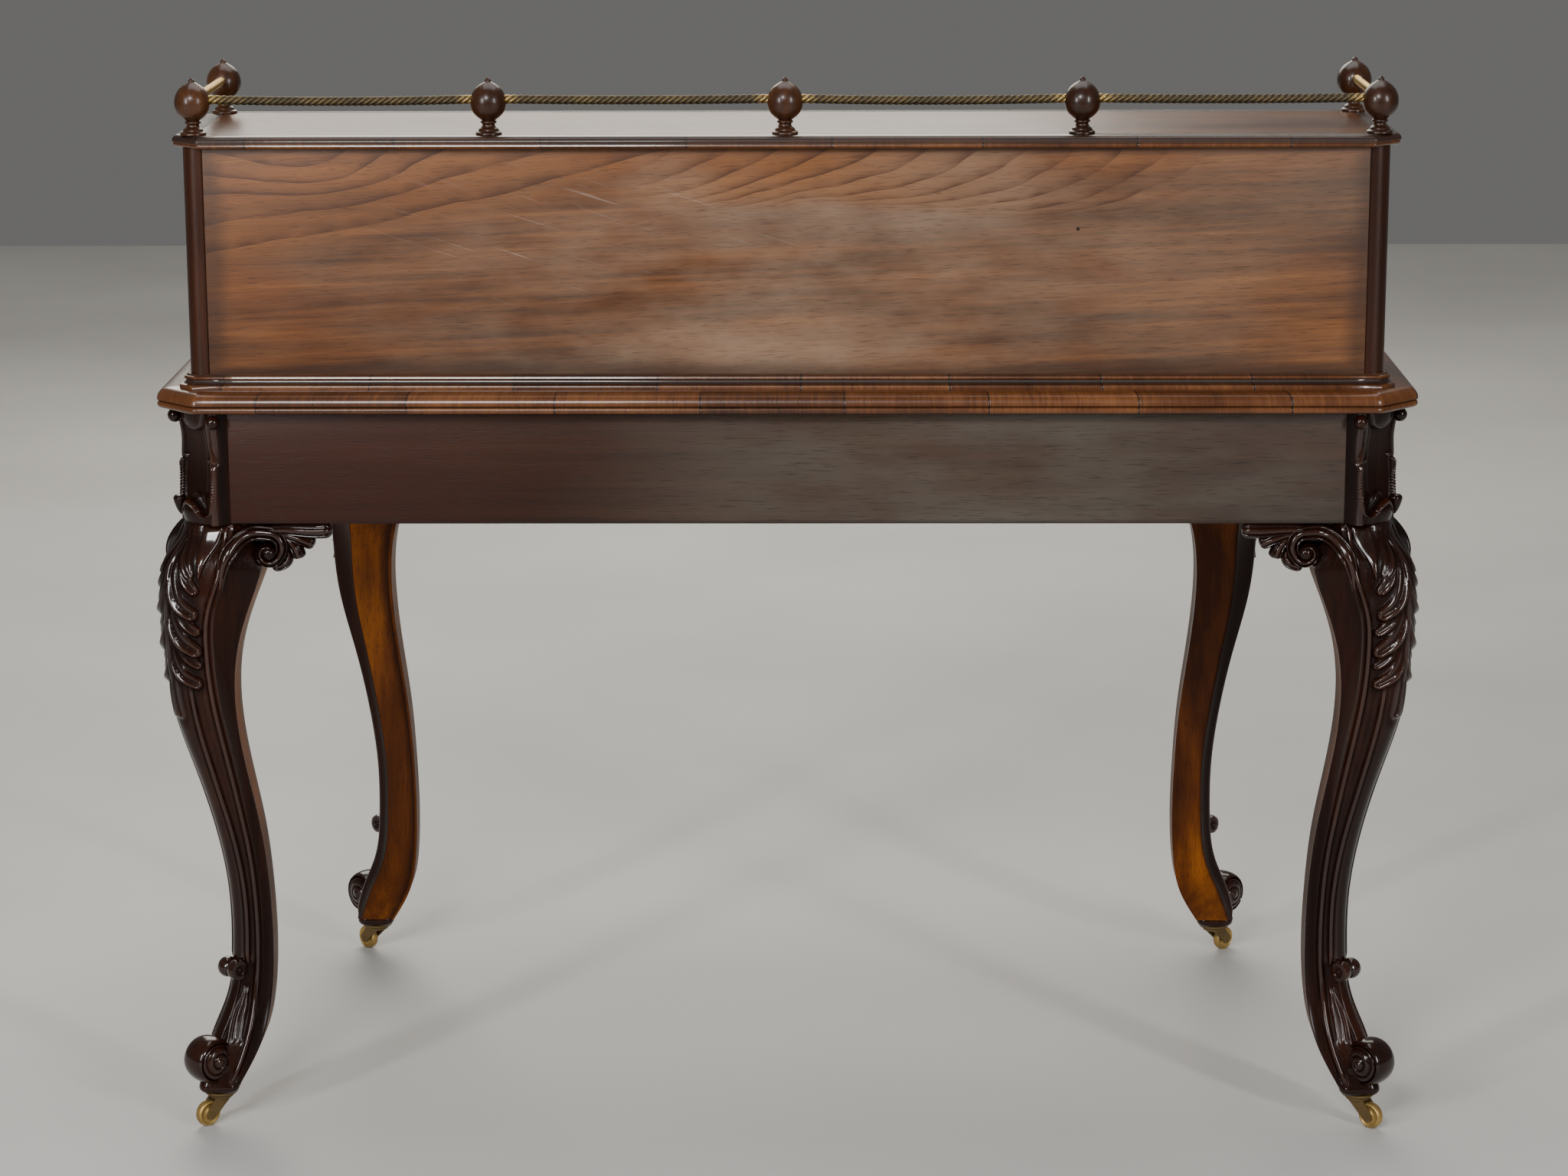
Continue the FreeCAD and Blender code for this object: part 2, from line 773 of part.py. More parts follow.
def make_corner_blocks():
    """Carved blocks on the canted corners: a hollow face between a roll above and a roll below,
    with a round lobe hung from the top and a ball at each side of it."""
    seat = (S.foot_setback - S.frieze_setback - S.corner_cant / 2) * ROOT_TWO
    nose, roll = seat + S.block_reach, S.block_roll
    face = nose - roll
    lower, upper = FRIEZE_UNDER + roll, TABLE_UNDER - roll
    chord = (upper - lower - roll * 2).value
    sweep = (chord ** 2 / 4 + S.block_hollow.value ** 2) / (2 * S.block_hollow.value)
    hollow = (face + sweep - S.block_hollow, (lower + upper) / 2)
    profile = [
        (seat, FRIEZE_UNDER),
        (face, FRIEZE_UNDER, (face, lower)),
        (nose, lower, (face, lower)),
        (face, lower + roll, hollow),
        (face, upper - roll, (face, upper)),
        (nose, upper, (face, upper)),
        (face, TABLE_UNDER),
        (seat, TABLE_UNDER),
    ]
    for corner in CORNERS:
        body = new_body(f"{corner}_corner_block")
        pad(body, draw(new_sketch(body, "XZ_Plane", -S.block_width / 2), profile), S.block_width)
        add_block_carving(body, face, nose)
        body.Placement = corner_placement(corner)
        node(body, f"{corner}_corner_block")


def add_block_carving(body, face, nose):
    """The lower half of an egg shape under the table, and a ball on each upper edge."""
    lobe_shape = body.newObject("PartDesign::AdditiveEllipsoid", f"{body.Name}_lobe")
    bind(lobe_shape, "Radius1", S.block_lobe_height)
    bind(lobe_shape, "Radius2", S.block_lobe_reach)
    bind(lobe_shape, "Radius3", S.block_lobe_width / 2)
    lobe_shape.Angle1, lobe_shape.Angle2 = -90, 0
    places = [(lobe_shape, (face + nose) / 2, 0, TABLE_UNDER)]
    for side in (-1, 1):
        ball = body.newObject("PartDesign::AdditiveSphere", f"{body.Name}_ball")
        bind(ball, "Radius", S.block_ball / 2)
        places.append((ball, face, (S.block_width - S.block_ball) / 2 * side, TABLE_UNDER - S.block_roll))
    for feature, *spot in places:
        for axis, place in zip("xyz", spot):
            bind(feature, f"Placement.Base.{axis}", place)


def bracket_plate():
    """The plain ear beside the knee under its carving, in the X-Z plane, X away from the leg."""
    top = FRIEZE_UNDER.value
    root, length, height = S.bracket_root.value, S.bracket_length.value, S.bracket_height.value

    def spot(along, down):
        return Vector(along * length, 0, top - down * height)

    face = flat_face([
        Vector(-root, 0, top),
        spot(1, 0),
        spot(1, 0.14),
        (spot(0.9, 0.28), spot(0.75, 0.36)),
        (spot(0.74, 0.5), spot(0.6, 0.6)),
        (spot(0.41, 0.94), spot(0.11, 1)),
        Vector(-root, 0, top - height),
    ])
    return face.extrude(Vector(0, S.bracket_thickness.value, 0))


def bracket_shape():
    """A carved ear that faces -Y: a volute beside the knee and a fan of three leaf lobes."""
    top = FRIEZE_UNDER.value
    front = -S.volute_proud.value
    side = volute_side(S.volute_proud.value, S.volute_radius.value, S.volute_ring.value, S.volute_eye.value)
    side = [Vector(point.x, -point.y, 0) for point in side]
    back = S.bracket_thickness.value
    volute = turned_across([Vector(0, back, 0), Vector(S.volute_radius.value, back, 0)] + side)
    volute.translate(point_at(S.volute_place, 0, top - S.volute_drop))
    root = Vector(BRACKET_LEAF_ROOT[0], front / 2, top - BRACKET_LEAF_ROOT[1])
    tips = [Vector(along, 0, top - down) for along, down in BRACKET_TIPS]
    lobes = [lobe(root, tip, S.bracket_lobe.value) for tip in tips]
    ear = bracket_plate().multiFuse([volute] + lobes)
    room = Part.makeBox(S.table_width.value, S.table_depth.value, top, point_at(-HALF_WIDTH, -BACK, 0))
    return ear.common(room).removeSplitter()


def make_brackets(leg):
    """Two ears on each back leg: one under the back rail, one under the side rail, which mirror
    each other across the leg's diagonal."""
    knee = BACK_FOOT[0] + KNEE_INNER
    origin = Vector(0, 0, 0)
    for side, sign in SIDES:
        corner = f"back_{side}"
        placed = leg.copy()
        placed.Placement = corner_placement(corner)
        along_back = bracket_shape()
        along_back.rotate(origin, Z_AXIS, 180)
        along_back.translate(point_at(knee, RAIL_Y + S.bracket_proud, 0))
        along_side = along_back.mirror(point_at(*BACK_FOOT, 0), Vector(1, -1, 0))
        ears = [along_back, along_side]
        if sign < 0:
            ears = [ear.mirror(origin, Vector(1, 0, 0)) for ear in ears]
        solid(f"{corner}_knee_brackets", Part.makeCompound([ear.cut(placed) for ear in ears]))


def make_casters():
    """Sockets on the feet; then horn, wheel and axle at each corner, trailing outwards."""
    sockets = []
    for corner in CORNERS:
        sockets.append(make_socket(corner))
        make_horn(corner)
        make_wheel(corner)
        make_axle(corner)
    group("caster_sockets", sockets)


def make_socket(corner):
    """A brass cup on the foot with the pivot that the horn hangs on."""
    body = new_body(f"{corner}_socket")
    top = S.caster_height
    under = top - S.socket_height
    tip = under - S.swivel_gap - S.horn_height
    rim, chamfer, pivot = S.socket_radius, S.socket_chamfer, S.pivot_radius
    revolve(body, [(0, tip), (pivot, tip), (pivot, under), (rim - chamfer, under),
                   (rim, under + chamfer), (rim, top), (0, top)])
    body.Placement = corner_placement(corner)
    return body


def cheek_shape(low, top, under):
    """One side of the horn: down from the disc and round the axle, in a plane across Y."""
    trail, axle = S.wheel_trail.value, S.wheel_diameter.value / 2
    root, round_end = S.cheek_root.value, S.cheek_radius.value
    slant = round_end / ROOT_TWO
    upper, lower = Vector(trail + slant, low, axle + slant), Vector(trail - slant, low, axle - slant)
    tip = Vector(trail + slant, low, axle - slant)
    face = flat_face([
        Vector(-root, low, top),
        Vector(root, low, top),
        upper,
        (tip, lower),
        Vector(-root, low, under),
    ])
    return face.extrude(Vector(0, S.cheek_thickness.value, 0))


def make_horn(corner):
    """The swivelling horn: a bored disc with two cheeks reaching out to the axle."""
    deep = S.horn_height.value
    top = (S.caster_height - S.socket_height - S.swivel_gap).value
    under = top - deep
    gap = (S.wheel_width / 2 + S.cheek_gap).value
    horn = Part.makeCylinder(S.horn_radius.value, deep, Vector(0, 0, under))
    horn = horn.multiFuse([cheek_shape(low, top, under) for low in (gap, -gap - S.cheek_thickness.value)])
    pivot_bore = (S.pivot_radius + S.pin_play).value
    horn = horn.cut(Part.makeCylinder(pivot_bore, deep * 3, Vector(0, 0, under - deep)))
    reach = S.horn_radius.value * 2
    start = point_at(S.wheel_trail, -reach, S.wheel_diameter / 2)
    axle_bore = (S.axle_diameter / 2 + S.axle_seat).value
    horn = horn.cut(Part.makeCylinder(axle_bore, reach * 2, start, Vector(0, 1, 0)))
    solid(f"{corner}_caster_horn", horn.removeSplitter(), corner_placement(corner))


def axle_placement():
    """Own Z axis laid across the caster at the wheel's middle."""
    middle = point_at(S.wheel_trail, 0, S.wheel_diameter / 2)
    return Placement(middle, Rotation(Vector(1, 0, 0), 90))


def make_wheel(corner):
    """A dished wheel with a hub and a chamfered rim, turned about its own axle."""
    body = new_body(f"{corner}_caster_wheel")
    rim, half, dish = S.wheel_diameter / 2, S.wheel_width / 2, S.wheel_dish
    bore = S.axle_diameter / 2 + S.pin_play
    shallow = half - dish
    revolve(body, [(bore, -half), (S.hub_radius, -half), (S.hub_radius + dish / 2, -shallow),
                   (rim - dish * 2, -shallow), (rim - dish, -half), (rim, -shallow),
                   (rim, shallow), (rim - dish, half), (rim - dish * 2, shallow),
                   (S.hub_radius + dish / 2, shallow), (S.hub_radius, half), (bore, half)])
    body.Placement = corner_placement(corner) * axle_placement()
    node(body, f"{corner}_caster_wheel")


def make_axle(corner):
    pin = DOC.addObject("Part::Cylinder", f"{corner}_caster_axle")
    length = S.wheel_width + (S.cheek_gap + S.cheek_thickness + S.axle_proud) * 2
    bind(pin, "Radius", S.axle_diameter / 2)
    bind(pin, "Height", length)
    shift = Placement(point_at(0, 0, -length / 2), Rotation())
    pin.Placement = corner_placement(corner) * axle_placement() * shift
    node(pin, f"{corner}_caster_axle")


def make_case_walls():
    """Back panel between two rounded stiles, and the two ends."""
    low, panel_x = S.table_height, CASE_X - S.stile_width
    node(box("upper_back_panel", (-panel_x, PANEL_FRONT, low), (panel_x * 2, S.case_board, S.case_height)),
         "upper_back_panel")
    for side, sign in SIDES:
        end_x = CASE_X - S.case_board if sign > 0 else -CASE_X
        lengths = (S.case_board, S.case_depth - S.stile_width, S.case_height)
        node(box(f"upper_{side}_end", (end_x, CASE_FRONT, low), lengths), f"upper_{side}_end")
        body = new_body(f"upper_{side}_stile")
        stile_x = panel_x if sign > 0 else -CASE_X
        plan = rectangle((stile_x, CASE_BACK - S.stile_width), (stile_x + S.stile_width, CASE_BACK))
        post = pad(body, draw(new_sketch(body, "XY_Plane", low), plan), S.case_height)
        arris = point_at(CASE_X * sign, CASE_BACK, low)
        round_over(body, post, S.stile_round, lambda edge: is_upright(edge) and passes(edge, arris))
        node(body, f"upper_{side}_stile")


def passes(edge, spot):
    """Whether an edge goes through a point."""
    return edge.distToShape(Part.Vertex(spot))[0] < 0.01


def make_case_top():
    """The moulded top board with canted corners."""
    half, back, front = CASE_X + S.top_reach, CASE_BACK + S.top_reach, CASE_FRONT - S.top_reach
    cant = S.top_cant
    plan = [(half, front + cant), (half, back - cant), (half - cant, back), (cant - half, back),
            (-half, back - cant), (-half, front + cant), (cant - half, front), (half - cant, front)]
    body = new_body("upper_top")
    board = pad(body, draw(new_sketch(body, "XY_Plane", CASE_TOP), plan), S.top_thickness)
    soft = round_over(body, board, S.top_cant / 3, is_upright)
    nose = round_over(body, soft, S.top_thickness * 0.42, lambda edge: lies_at(edge, GALLERY_FLOOR))
    round_over(body, nose, S.top_thickness * 0.25, lambda edge: lies_at(edge, CASE_TOP))
    node(body, "upper_top")


def base_profile():
    """Ogee over a fillet at the foot of the upper case, standing on the case's right end."""
    reach, tall = S.base_reach.value, S.base_height.value

    def spot(out, rise):
        return point_at(CASE_X + out * reach, CASE_FRONT, S.table_height + rise * tall)

    pieces = [
        Part.LineSegment(spot(0, 0), spot(1, 0)),
        Part.LineSegment(spot(1, 0), spot(1, 0.3)),
        Part.Arc(spot(1, 0.3), spot(0.55, 0.38), spot(0.38, 0.72)),
        Part.Arc(spot(0.38, 0.72), spot(0.42, 0.88), spot(0.2, 1)),
        Part.LineSegment(spot(0.2, 1), spot(0, 1)),
        Part.LineSegment(spot(0, 1), spot(0, 0)),
    ]
    return Part.Wire([piece.toShape() for piece in pieces])


def make_base_moulding():
    """One moulding round the case, canted at the back corners, parted at its two mitres."""
    low = S.table_height
    cant = S.stile_round * (2 - ROOT_TWO)
    parting = CASE_BACK - cant
    route = [(CASE_X, CASE_FRONT), (CASE_X, parting), (CASE_X - cant, CASE_BACK),
             (cant - CASE_X, CASE_BACK), (-CASE_X, parting), (-CASE_X, CASE_FRONT)]
    path = Part.makePolygon([point_at(x, y, low) for x, y in route])
    mitred = 1
    whole = path.makePipeShell([base_profile()], True, False, mitred)
    reach, tall = S.base_reach.value * 2, S.base_height.value
    half = CASE_X.value + reach
    cutter = Part.makeBox(2 * half, reach + cant.value, tall * 2, point_at(-half, parting, low - tall / 2))
    solid("back_base_moulding", whole.common(cutter))
    ends = sorted(whole.cut(cutter).Solids, key=lambda piece: piece.CenterOfMass.x)
    for (side, _), piece in zip(SIDES, ends):
        solid(f"{side}_base_moulding", piece)


def make_notched_board(label, low, thickness):
    """A board across the case, notched round the two back stiles."""
    inside, panel_x = CASE_X - S.case_board, CASE_X - S.stile_width
    notch = CASE_BACK - S.stile_width
    plan = [(-inside, CASE_FRONT), (inside, CASE_FRONT), (inside, notch), (panel_x, notch),
            (panel_x, PANEL_FRONT), (-panel_x, PANEL_FRONT), (-panel_x, notch), (-inside, notch)]
    body = new_body(label)
    pad(body, draw(new_sketch(body, "XY_Plane", low), plan), thickness)
    node(body, label)


def make_case_inside():
    """Floor, shelf, partitions, dividers and small drawers behind the open front."""
    thin = S.divider
    inside = CASE_X - S.case_board
    deep = PANEL_FRONT - CASE_FRONT
    floor_top = S.table_height + S.case_board
    shelf_low = S.table_height + S.shelf_height
    shelf_top = shelf_low + thin
    make_notched_board("upper_floor", S.table_height, S.case_board)
    make_notched_board("upper_shelf", shelf_low, thin)
    third = inside * 2 / len(SMALL_DRAWERS)
    walls = []
    for side, sign in SIDES:
        low = (third / 2 * sign - thin / 2, CASE_FRONT, floor_top)
        walls.append(box(f"partition_{side}", low, (thin, deep, shelf_low - floor_top)))
    group("drawer_partitions", walls)
    cell = inside * 2 / PIGEONHOLES
    dividers = []
    for i in range(1, PIGEONHOLES):
        low = (cell * i - inside - thin / 2, CASE_FRONT + S.divider_setback, shelf_top)
        lengths = (thin, deep - S.divider_setback, CASE_TOP - shelf_top)
        dividers.append(box(f"divider_{i}", low, lengths))
    group("pigeonhole_dividers", dividers)
    for i, side in enumerate(SMALL_DRAWERS):
        make_small_drawer(side, third * (i - 1), third - thin, floor_top, shelf_low)


def make_small_drawer(side, middle, width, floor, ceiling):
    """A small drawer under the pigeonholes: front, open box and knob."""
    gap = S.drawer_gap / 2
    half = width / 2 - gap
    low = floor + gap
    tall = ceiling - floor - gap * 2
    name = f"{side}_small_drawer"
    front_y = CASE_FRONT + S.front_inset
    node(box(f"{name}_front", (middle - half, front_y, low), (half * 2, S.front_thickness, tall)),
         f"{name}_front")
    body = new_body(f"{name}_box")
    start = front_y + S.front_thickness
    stop = start + S.small_depth
    outer, inner = half - S.box_inset, half - S.box_inset - S.box_wall
    plan = rectangle((middle - outer, start), (middle + outer, stop))
    pad(body, draw(new_sketch(body, "XY_Plane", low), plan), tall - S.box_drop)
    well = rectangle((middle - inner, start - S.front_thickness), (middle + inner, stop - S.box_wall))
    pocket(body, draw(new_sketch(body, "XY_Plane", low + S.box_wall), well), tall, along_normal=True)
    node(body, f"{name}_box")
    node(make_knob(f"{name}_knob", (middle, front_y, low + tall / 2)), f"{name}_knob")


def make_gallery():
    """Turned finials along the back and at the front corners, joined by rope-twist rods."""
    half = CASE_X + S.top_reach - S.finial_inset
    back = CASE_BACK + S.top_reach - S.finial_inset
    front = CASE_FRONT - S.top_reach + S.finial_inset
    back_row = [(half * share, back) for share in (-1, -0.5, 0, 0.5, 1)]
    spots = back_row + [(-half, front), (half, front)]
    group("gallery_finials", [make_finial(f"finial_{i}", *spot) for i, spot in enumerate(spots)])
    rods = [rod_between(*pair) for pair in zip(back_row, back_row[1:])]
    solid("gallery_back_rails", Part.makeCompound(rods))
    sides = [rod_between((half * sign, back), (half * sign, front)) for _, sign in SIDES]
    solid("gallery_side_rails", Part.makeCompound(sides))


def rod_between(first, last):
    """A straight rod between two finials that ends on the surface of their balls."""
    ends = [point_at(*spot, GALLERY_AXIS) for spot in (first, last)]
    run = ends[1] - ends[0]
    rod = Part.makeCylinder(S.rope_diameter.value / 2, run.Length, ends[0], run)
    balls = [Part.makeSphere(S.finial_ball.value / 2, end) for end in ends]
    return rod.cut(balls[0]).cut(balls[1])


def make_finial(name, x, y):
    """Stepped base, ringed neck, ball and pointed tip, turned about Z."""
    body = new_body(name)
    rise, ball = S.finial_rise, S.finial_ball / 2
    neck, tip = S.finial_neck, S.finial_tip
    centre = (0, rise)
    neck_z = rise - math.sqrt(ball.value ** 2 - neck.value ** 2)
    tip_z = rise + math.sqrt(ball.value ** 2 - tip.value ** 2)
    sphere = [(neck, neck_z, centre), (ball, rise, centre), (tip, tip_z)]
    revolve(body, FINIAL_FOOT + sphere + [(radius, tip_z + up) for radius, up in FINIAL_POINT])
    body.Placement = Placement(point_at(x, y, GALLERY_FLOOR), Rotation())
    return body


def check_all():
    """Stop if any object failed or any piece has no valid shape."""
    for thing in DOC.Objects:
        if "Invalid" in thing.State or "Error" in thing.State:
            raise RuntimeError(f"{thing.Label} failed: {thing.State}")
    for piece in NODES:
        if piece.Shape.isNull() or not piece.Shape.isValid():
            raise RuntimeError(f"{piece.Label} has no valid shape")


def main():
    make_table_top()
    make_leather()
    make_edge_moulding()
    make_back_rail()
    for side, sign in SIDES:
        make_side_rail(side, sign)
    make_front_rail()
    make_frieze_drawer()
    make_runners()
    make_brackets(make_legs())
    make_corner_blocks()
    make_casters()
    make_case_walls()
    make_case_top()
    make_base_moulding()
    make_case_inside()
    make_gallery()
    DOC.recompute()
    check_all()
    os.makedirs("parts", exist_ok=True)
    for piece in NODES:
        piece.Shape.exportStep(f"parts/{piece.Label}.step")
    print(len(NODES), "pieces written")


main()
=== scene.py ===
import json
import math

import bmesh
import bpy
import numpy as np
from mathutils import Matrix, Vector


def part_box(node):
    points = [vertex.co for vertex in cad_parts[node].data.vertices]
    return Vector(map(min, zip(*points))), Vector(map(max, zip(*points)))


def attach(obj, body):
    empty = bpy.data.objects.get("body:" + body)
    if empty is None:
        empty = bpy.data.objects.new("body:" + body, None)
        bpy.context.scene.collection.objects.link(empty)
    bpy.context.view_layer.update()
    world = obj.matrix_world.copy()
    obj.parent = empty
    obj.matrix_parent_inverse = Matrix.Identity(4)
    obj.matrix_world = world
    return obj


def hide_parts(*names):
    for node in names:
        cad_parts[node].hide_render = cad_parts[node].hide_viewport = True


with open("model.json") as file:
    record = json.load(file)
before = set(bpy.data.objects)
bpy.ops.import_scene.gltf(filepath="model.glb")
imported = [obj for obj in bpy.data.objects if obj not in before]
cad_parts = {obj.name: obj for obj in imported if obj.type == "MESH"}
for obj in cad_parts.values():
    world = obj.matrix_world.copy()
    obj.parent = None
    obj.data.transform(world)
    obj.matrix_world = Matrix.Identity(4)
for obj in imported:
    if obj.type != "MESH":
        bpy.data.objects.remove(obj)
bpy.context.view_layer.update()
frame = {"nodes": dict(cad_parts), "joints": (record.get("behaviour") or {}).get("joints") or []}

MM = 0.001
ROOT_TWO = math.sqrt(2)
CANT_SHARE = 2 - ROOT_TWO  # how much a canted corner shrinks as its outline moves in by one
FLIP = np.array([-1, 1])  # to the other side in plan
SIDES = (("left", -1), ("right", 1))
SMALL_DRAWERS = ("left", "centre", "right")
PLAIN_TONE = 0.3  # relief of the plain backs of carved pieces
ASIDE = (0.13, 0.97, 0.21)  # a direction that no beaded edge follows
WELD = 2e-6  # metres within which points become one
SLIVER = 1e-7  # metres under which an edge is taken out


# Sizes in millimetres, read from the frame where it has them

def corners(node):
    """A node's lowest and highest corner."""
    return tuple(np.array(corner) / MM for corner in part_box(node))


EDGE_LOW, EDGE_HIGH = corners("top_edge_moulding")
HALF_WIDTH, BACK, TABLE_TOP = EDGE_HIGH
TABLE_UNDER = EDGE_LOW[2]
BOARD_HALF = corners("table_top")[1][0]
EDGE_BAND = HALF_WIDTH - BOARD_HALF
RAIL_LOW, RAIL_HIGH = corners("back_rail")
FRIEZE_UNDER = RAIL_LOW[2]
RAIL_SETBACK = BACK - RAIL_HIGH[1]
RAIL_THICKNESS = RAIL_HIGH[1] - RAIL_LOW[1]
CASE_TOP_LOW, CASE_TOP_HIGH = corners("upper_top")
END_LOW, END_HIGH = corners("upper_right_end")
CASE_X, CASE_FRONT = END_HIGH[0], END_LOW[1]
CASE_BACK = corners("upper_right_stile")[1][1]
BASE_TOP = corners("right_base_moulding")[1][2]
BASE_REACH = corners("right_base_moulding")[1][0] - CASE_X
LEATHER_LOW, LEATHER_HIGH = corners("writing_leather")
FINIAL_RADIUS = 16.0
FINIAL_SPAN = (corners("gallery_finials")[1][0] - FINIAL_RADIUS) / 2

# The D plan of the table
CANT = 40
CANT_ROUND = 14
LINE_SHY = 20  # how far the points of the back line stay from its corners
SHOULDER_RADIUS = 390
BOW_ANGLE = math.radians(16)
SHOULDER_X = HALF_WIDTH - SHOULDER_RADIUS
BOW_RADIUS = SHOULDER_RADIUS + SHOULDER_X / math.sin(BOW_ANGLE)
BOW_Y = BOW_RADIUS - BACK
SHOULDER_Y = BOW_Y - (BOW_RADIUS - SHOULDER_RADIUS) * math.cos(BOW_ANGLE)

# Corners of the desk: the way out along the diagonal, and the foot under it
TURNS = {"back_right": 45, "back_left": 135, "front_left": 225, "front_right": 315}
JOINT_PLACES = {joint["name"]: np.array(joint["pos_m"]) / MM
                for joint in frame["joints"] if "pos_m" in joint}
FEET = {corner: JOINT_PLACES[f"{corner}_swivel"][:2] for corner in TURNS}


# Numbers and grids

def smooth_step(low, high, value):
    """0 below low, 1 above high, and three t squared minus two t cubed between them."""
    t = np.clip((value - low) / (high - low), 0, 1)
    return t * t * (3 - 2 * t)


def dome(offset, radius):
    """Height of a half circle of a radius at an offset from its middle, 0 outside it."""
    return np.sqrt(np.clip(radius ** 2 - offset ** 2, 0, None))


def bell(offset, width):
    """e to the power of minus offset over width, squared."""
    return np.exp(-(offset / width) ** 2)


def spline(knots, values, at):
    """Natural cubic spline: curvatures at the knots solve the three-term equations that
    keep the slope steady, and each span is the cubic with those curvatures at its ends."""
    knots, values = np.asarray(knots, float), np.asarray(values, float)
    step, count = np.diff(knots), len(knots)
    rise = np.diff(values, axis=0) / step.reshape(-1, *[1] * (values.ndim - 1))
    matrix = np.eye(count)
    inner = np.arange(1, count - 1)
    matrix[inner, inner - 1] = step[:-1]
    matrix[inner, inner] = 2 * (step[:-1] + step[1:])
    matrix[inner, inner + 1] = step[1:]
    load = np.zeros_like(values)
    load[1:-1] = 6 * np.diff(rise, axis=0)
    bend = np.linalg.solve(matrix, load)
    at = np.asarray(at, float)
    span = np.clip(np.searchsorted(knots, at) - 1, 0, count - 2)
    shape = at.shape + (1,) * (values.ndim - 1)
    width = step[span].reshape(shape)
    b = ((at - knots[span]).reshape(shape)) / width
    a = 1 - b
    curve = ((a ** 3 - a) * bend[span] + (b ** 3 - b) * bend[span + 1]) * width ** 2 / 6
    return a * values[span] + b * values[span + 1] + curve


def softened(points, rounds=2):
    """A line with its corners cut: each span is replaced by its points at one and three quarters."""
    points = np.asarray(points, float)
    for _ in range(rounds):
        near = 0.75 * points[:-1] + 0.25 * points[1:]
        far = 0.25 * points[:-1] + 0.75 * points[1:]
        inner = np.stack([near, far], 1).reshape(-1, points.shape[1])
        points = np.concatenate([points[:1], inner, points[-1:]])
    return points


def arc(centre, radius, start, stop, count):
    """Points of a circle between two angles in degrees."""
    angle = np.radians(np.linspace(start, stop, count))
    return np.stack([centre[0] + radius * np.cos(angle), centre[1] + radius * np.sin(angle)], -1)


def grid(points, wrap_rows=False, relief=None):
    """Four-sided faces over rows of points, each row a closed ring. Each face corner has the lengths
    along the grid's two ways as its place on the map, and each point the relief that it is carved to."""
    rows, cols = points.shape[:2]
    index = np.arange(rows * cols).reshape(rows, cols)
    if wrap_rows:
        index = np.concatenate([index, index[:1]])
    index = np.concatenate([index, index[:, :1]], 1)
    flat = points.reshape(-1, 3)
    spread = flat[index]
    along = np.linalg.norm(np.diff(spread, axis=0), axis=2).max(1)
    across = np.linalg.norm(np.diff(spread, axis=1), axis=2).max(0)
    u = np.concatenate([[0], np.cumsum(along)])[:, None].repeat(index.shape[1], 1)
    v = np.concatenate([[0], np.cumsum(across)])[None].repeat(index.shape[0], 0)
    place = np.stack([u, v], -1) * MM

    def around(table):
        return np.stack([table[:-1, :-1], table[1:, :-1], table[1:, 1:], table[:-1, 1:]], 2)

    if relief is None:
        relief = np.full((rows, cols), 0.5)
    return flat, around(index).reshape(-1, 4), around(place).reshape(-1, 4, 2), relief.reshape(-1)


def poled(rows):
    """Rows of points with both ends drawn together at their own middles."""
    ends = [rows[i:i + 1].mean(1, keepdims=True).repeat(rows.shape[1], 1) for i in (0, len(rows) - 1)]
    return np.concatenate([ends[0], rows, ends[1]])


def capped(rings, relief=None):
    """Closed rings joined into a skin that is drawn together at both ends."""
    if relief is not None:
        relief = np.concatenate([relief[:1], relief, relief[-1:]])
    return grid(poled(np.asarray(rings)), relief=relief)


def backed(front, axis, seat, tone):
    """A carved sheet with a plain back: its two edges are carried along an axis to a seat."""
    back = front[:, [-1, 0]].copy()
    back[..., axis] = seat
    relief = np.concatenate([tone, np.full((len(tone), 2), PLAIN_TONE)], 1)
    return capped(np.concatenate([front, back], 1), relief)


def at_level(plan, level):
    """Points of a plan at one level."""
    return np.column_stack([plan, np.full(len(plan), level)])


def headings(line):
    """Unit vectors along a line at each of its points."""
    ahead = np.gradient(line, axis=0)
    return ahead / np.linalg.norm(ahead, axis=1, keepdims=True)


def sideways(line):
    """Unit vectors to the left of a line in a plane, square to it."""
    ahead = headings(line)
    return np.stack([-ahead[:, 1], ahead[:, 0]], -1)


def moved(part, turn, shift, mirror=1):
    """A part mirrored across X, turned about Z by degrees, then shifted."""
    angle = math.radians(turn)
    cosine, sine = math.cos(angle), math.sin(angle)
    spin = np.array([[cosine, -sine, 0], [sine, cosine, 0], [0, 0, 1]])
    points = part[0] * np.array([mirror, 1, 1])
    return (points @ spin.T + np.asarray(shift, float), *part[1:])


def rounded_box(low, high, soft):
    """A board with rounded arrises: a rounded rectangle carried along X, drawn in at both ends."""
    low, high = np.asarray(low, float), np.asarray(high, float)
    ease = soft * (1 - 1 / ROOT_TWO)
    stations = [(low[0], soft), (low[0] + ease, ease), (low[0] + soft, 0),
                (high[0] - soft, 0), (high[0] - ease, ease), (high[0], soft)]
    rings = []
    for x, inset in stations:
        reach = soft - inset
        ring = [arc((y, z), reach, start, start + 90, 4) for y, z, start in (
            (high[1] - soft, high[2] - soft, 0), (low[1] + soft, high[2] - soft, 90),
            (low[1] + soft, low[2] + soft, 180), (high[1] - soft, low[2] + soft, 270))]
        ring = np.concatenate(ring)
        rings.append(np.column_stack([np.full(len(ring), x), ring]))
    return capped(rings)


def turned(profile, centre=(0, 0, 0), around=48):
    """A piece turned about Z: every point of the profile of radius and rise goes round a circle."""
    profile = np.asarray(profile, float)
    angle = np.linspace(0, math.tau, around, endpoint=False)
    radius, rise = profile[:, :1], profile[:, 1:]
    points = np.stack([radius * np.cos(angle), radius * np.sin(angle), rise + 0 * angle], -1)
    return grid(points + np.asarray(centre, float))


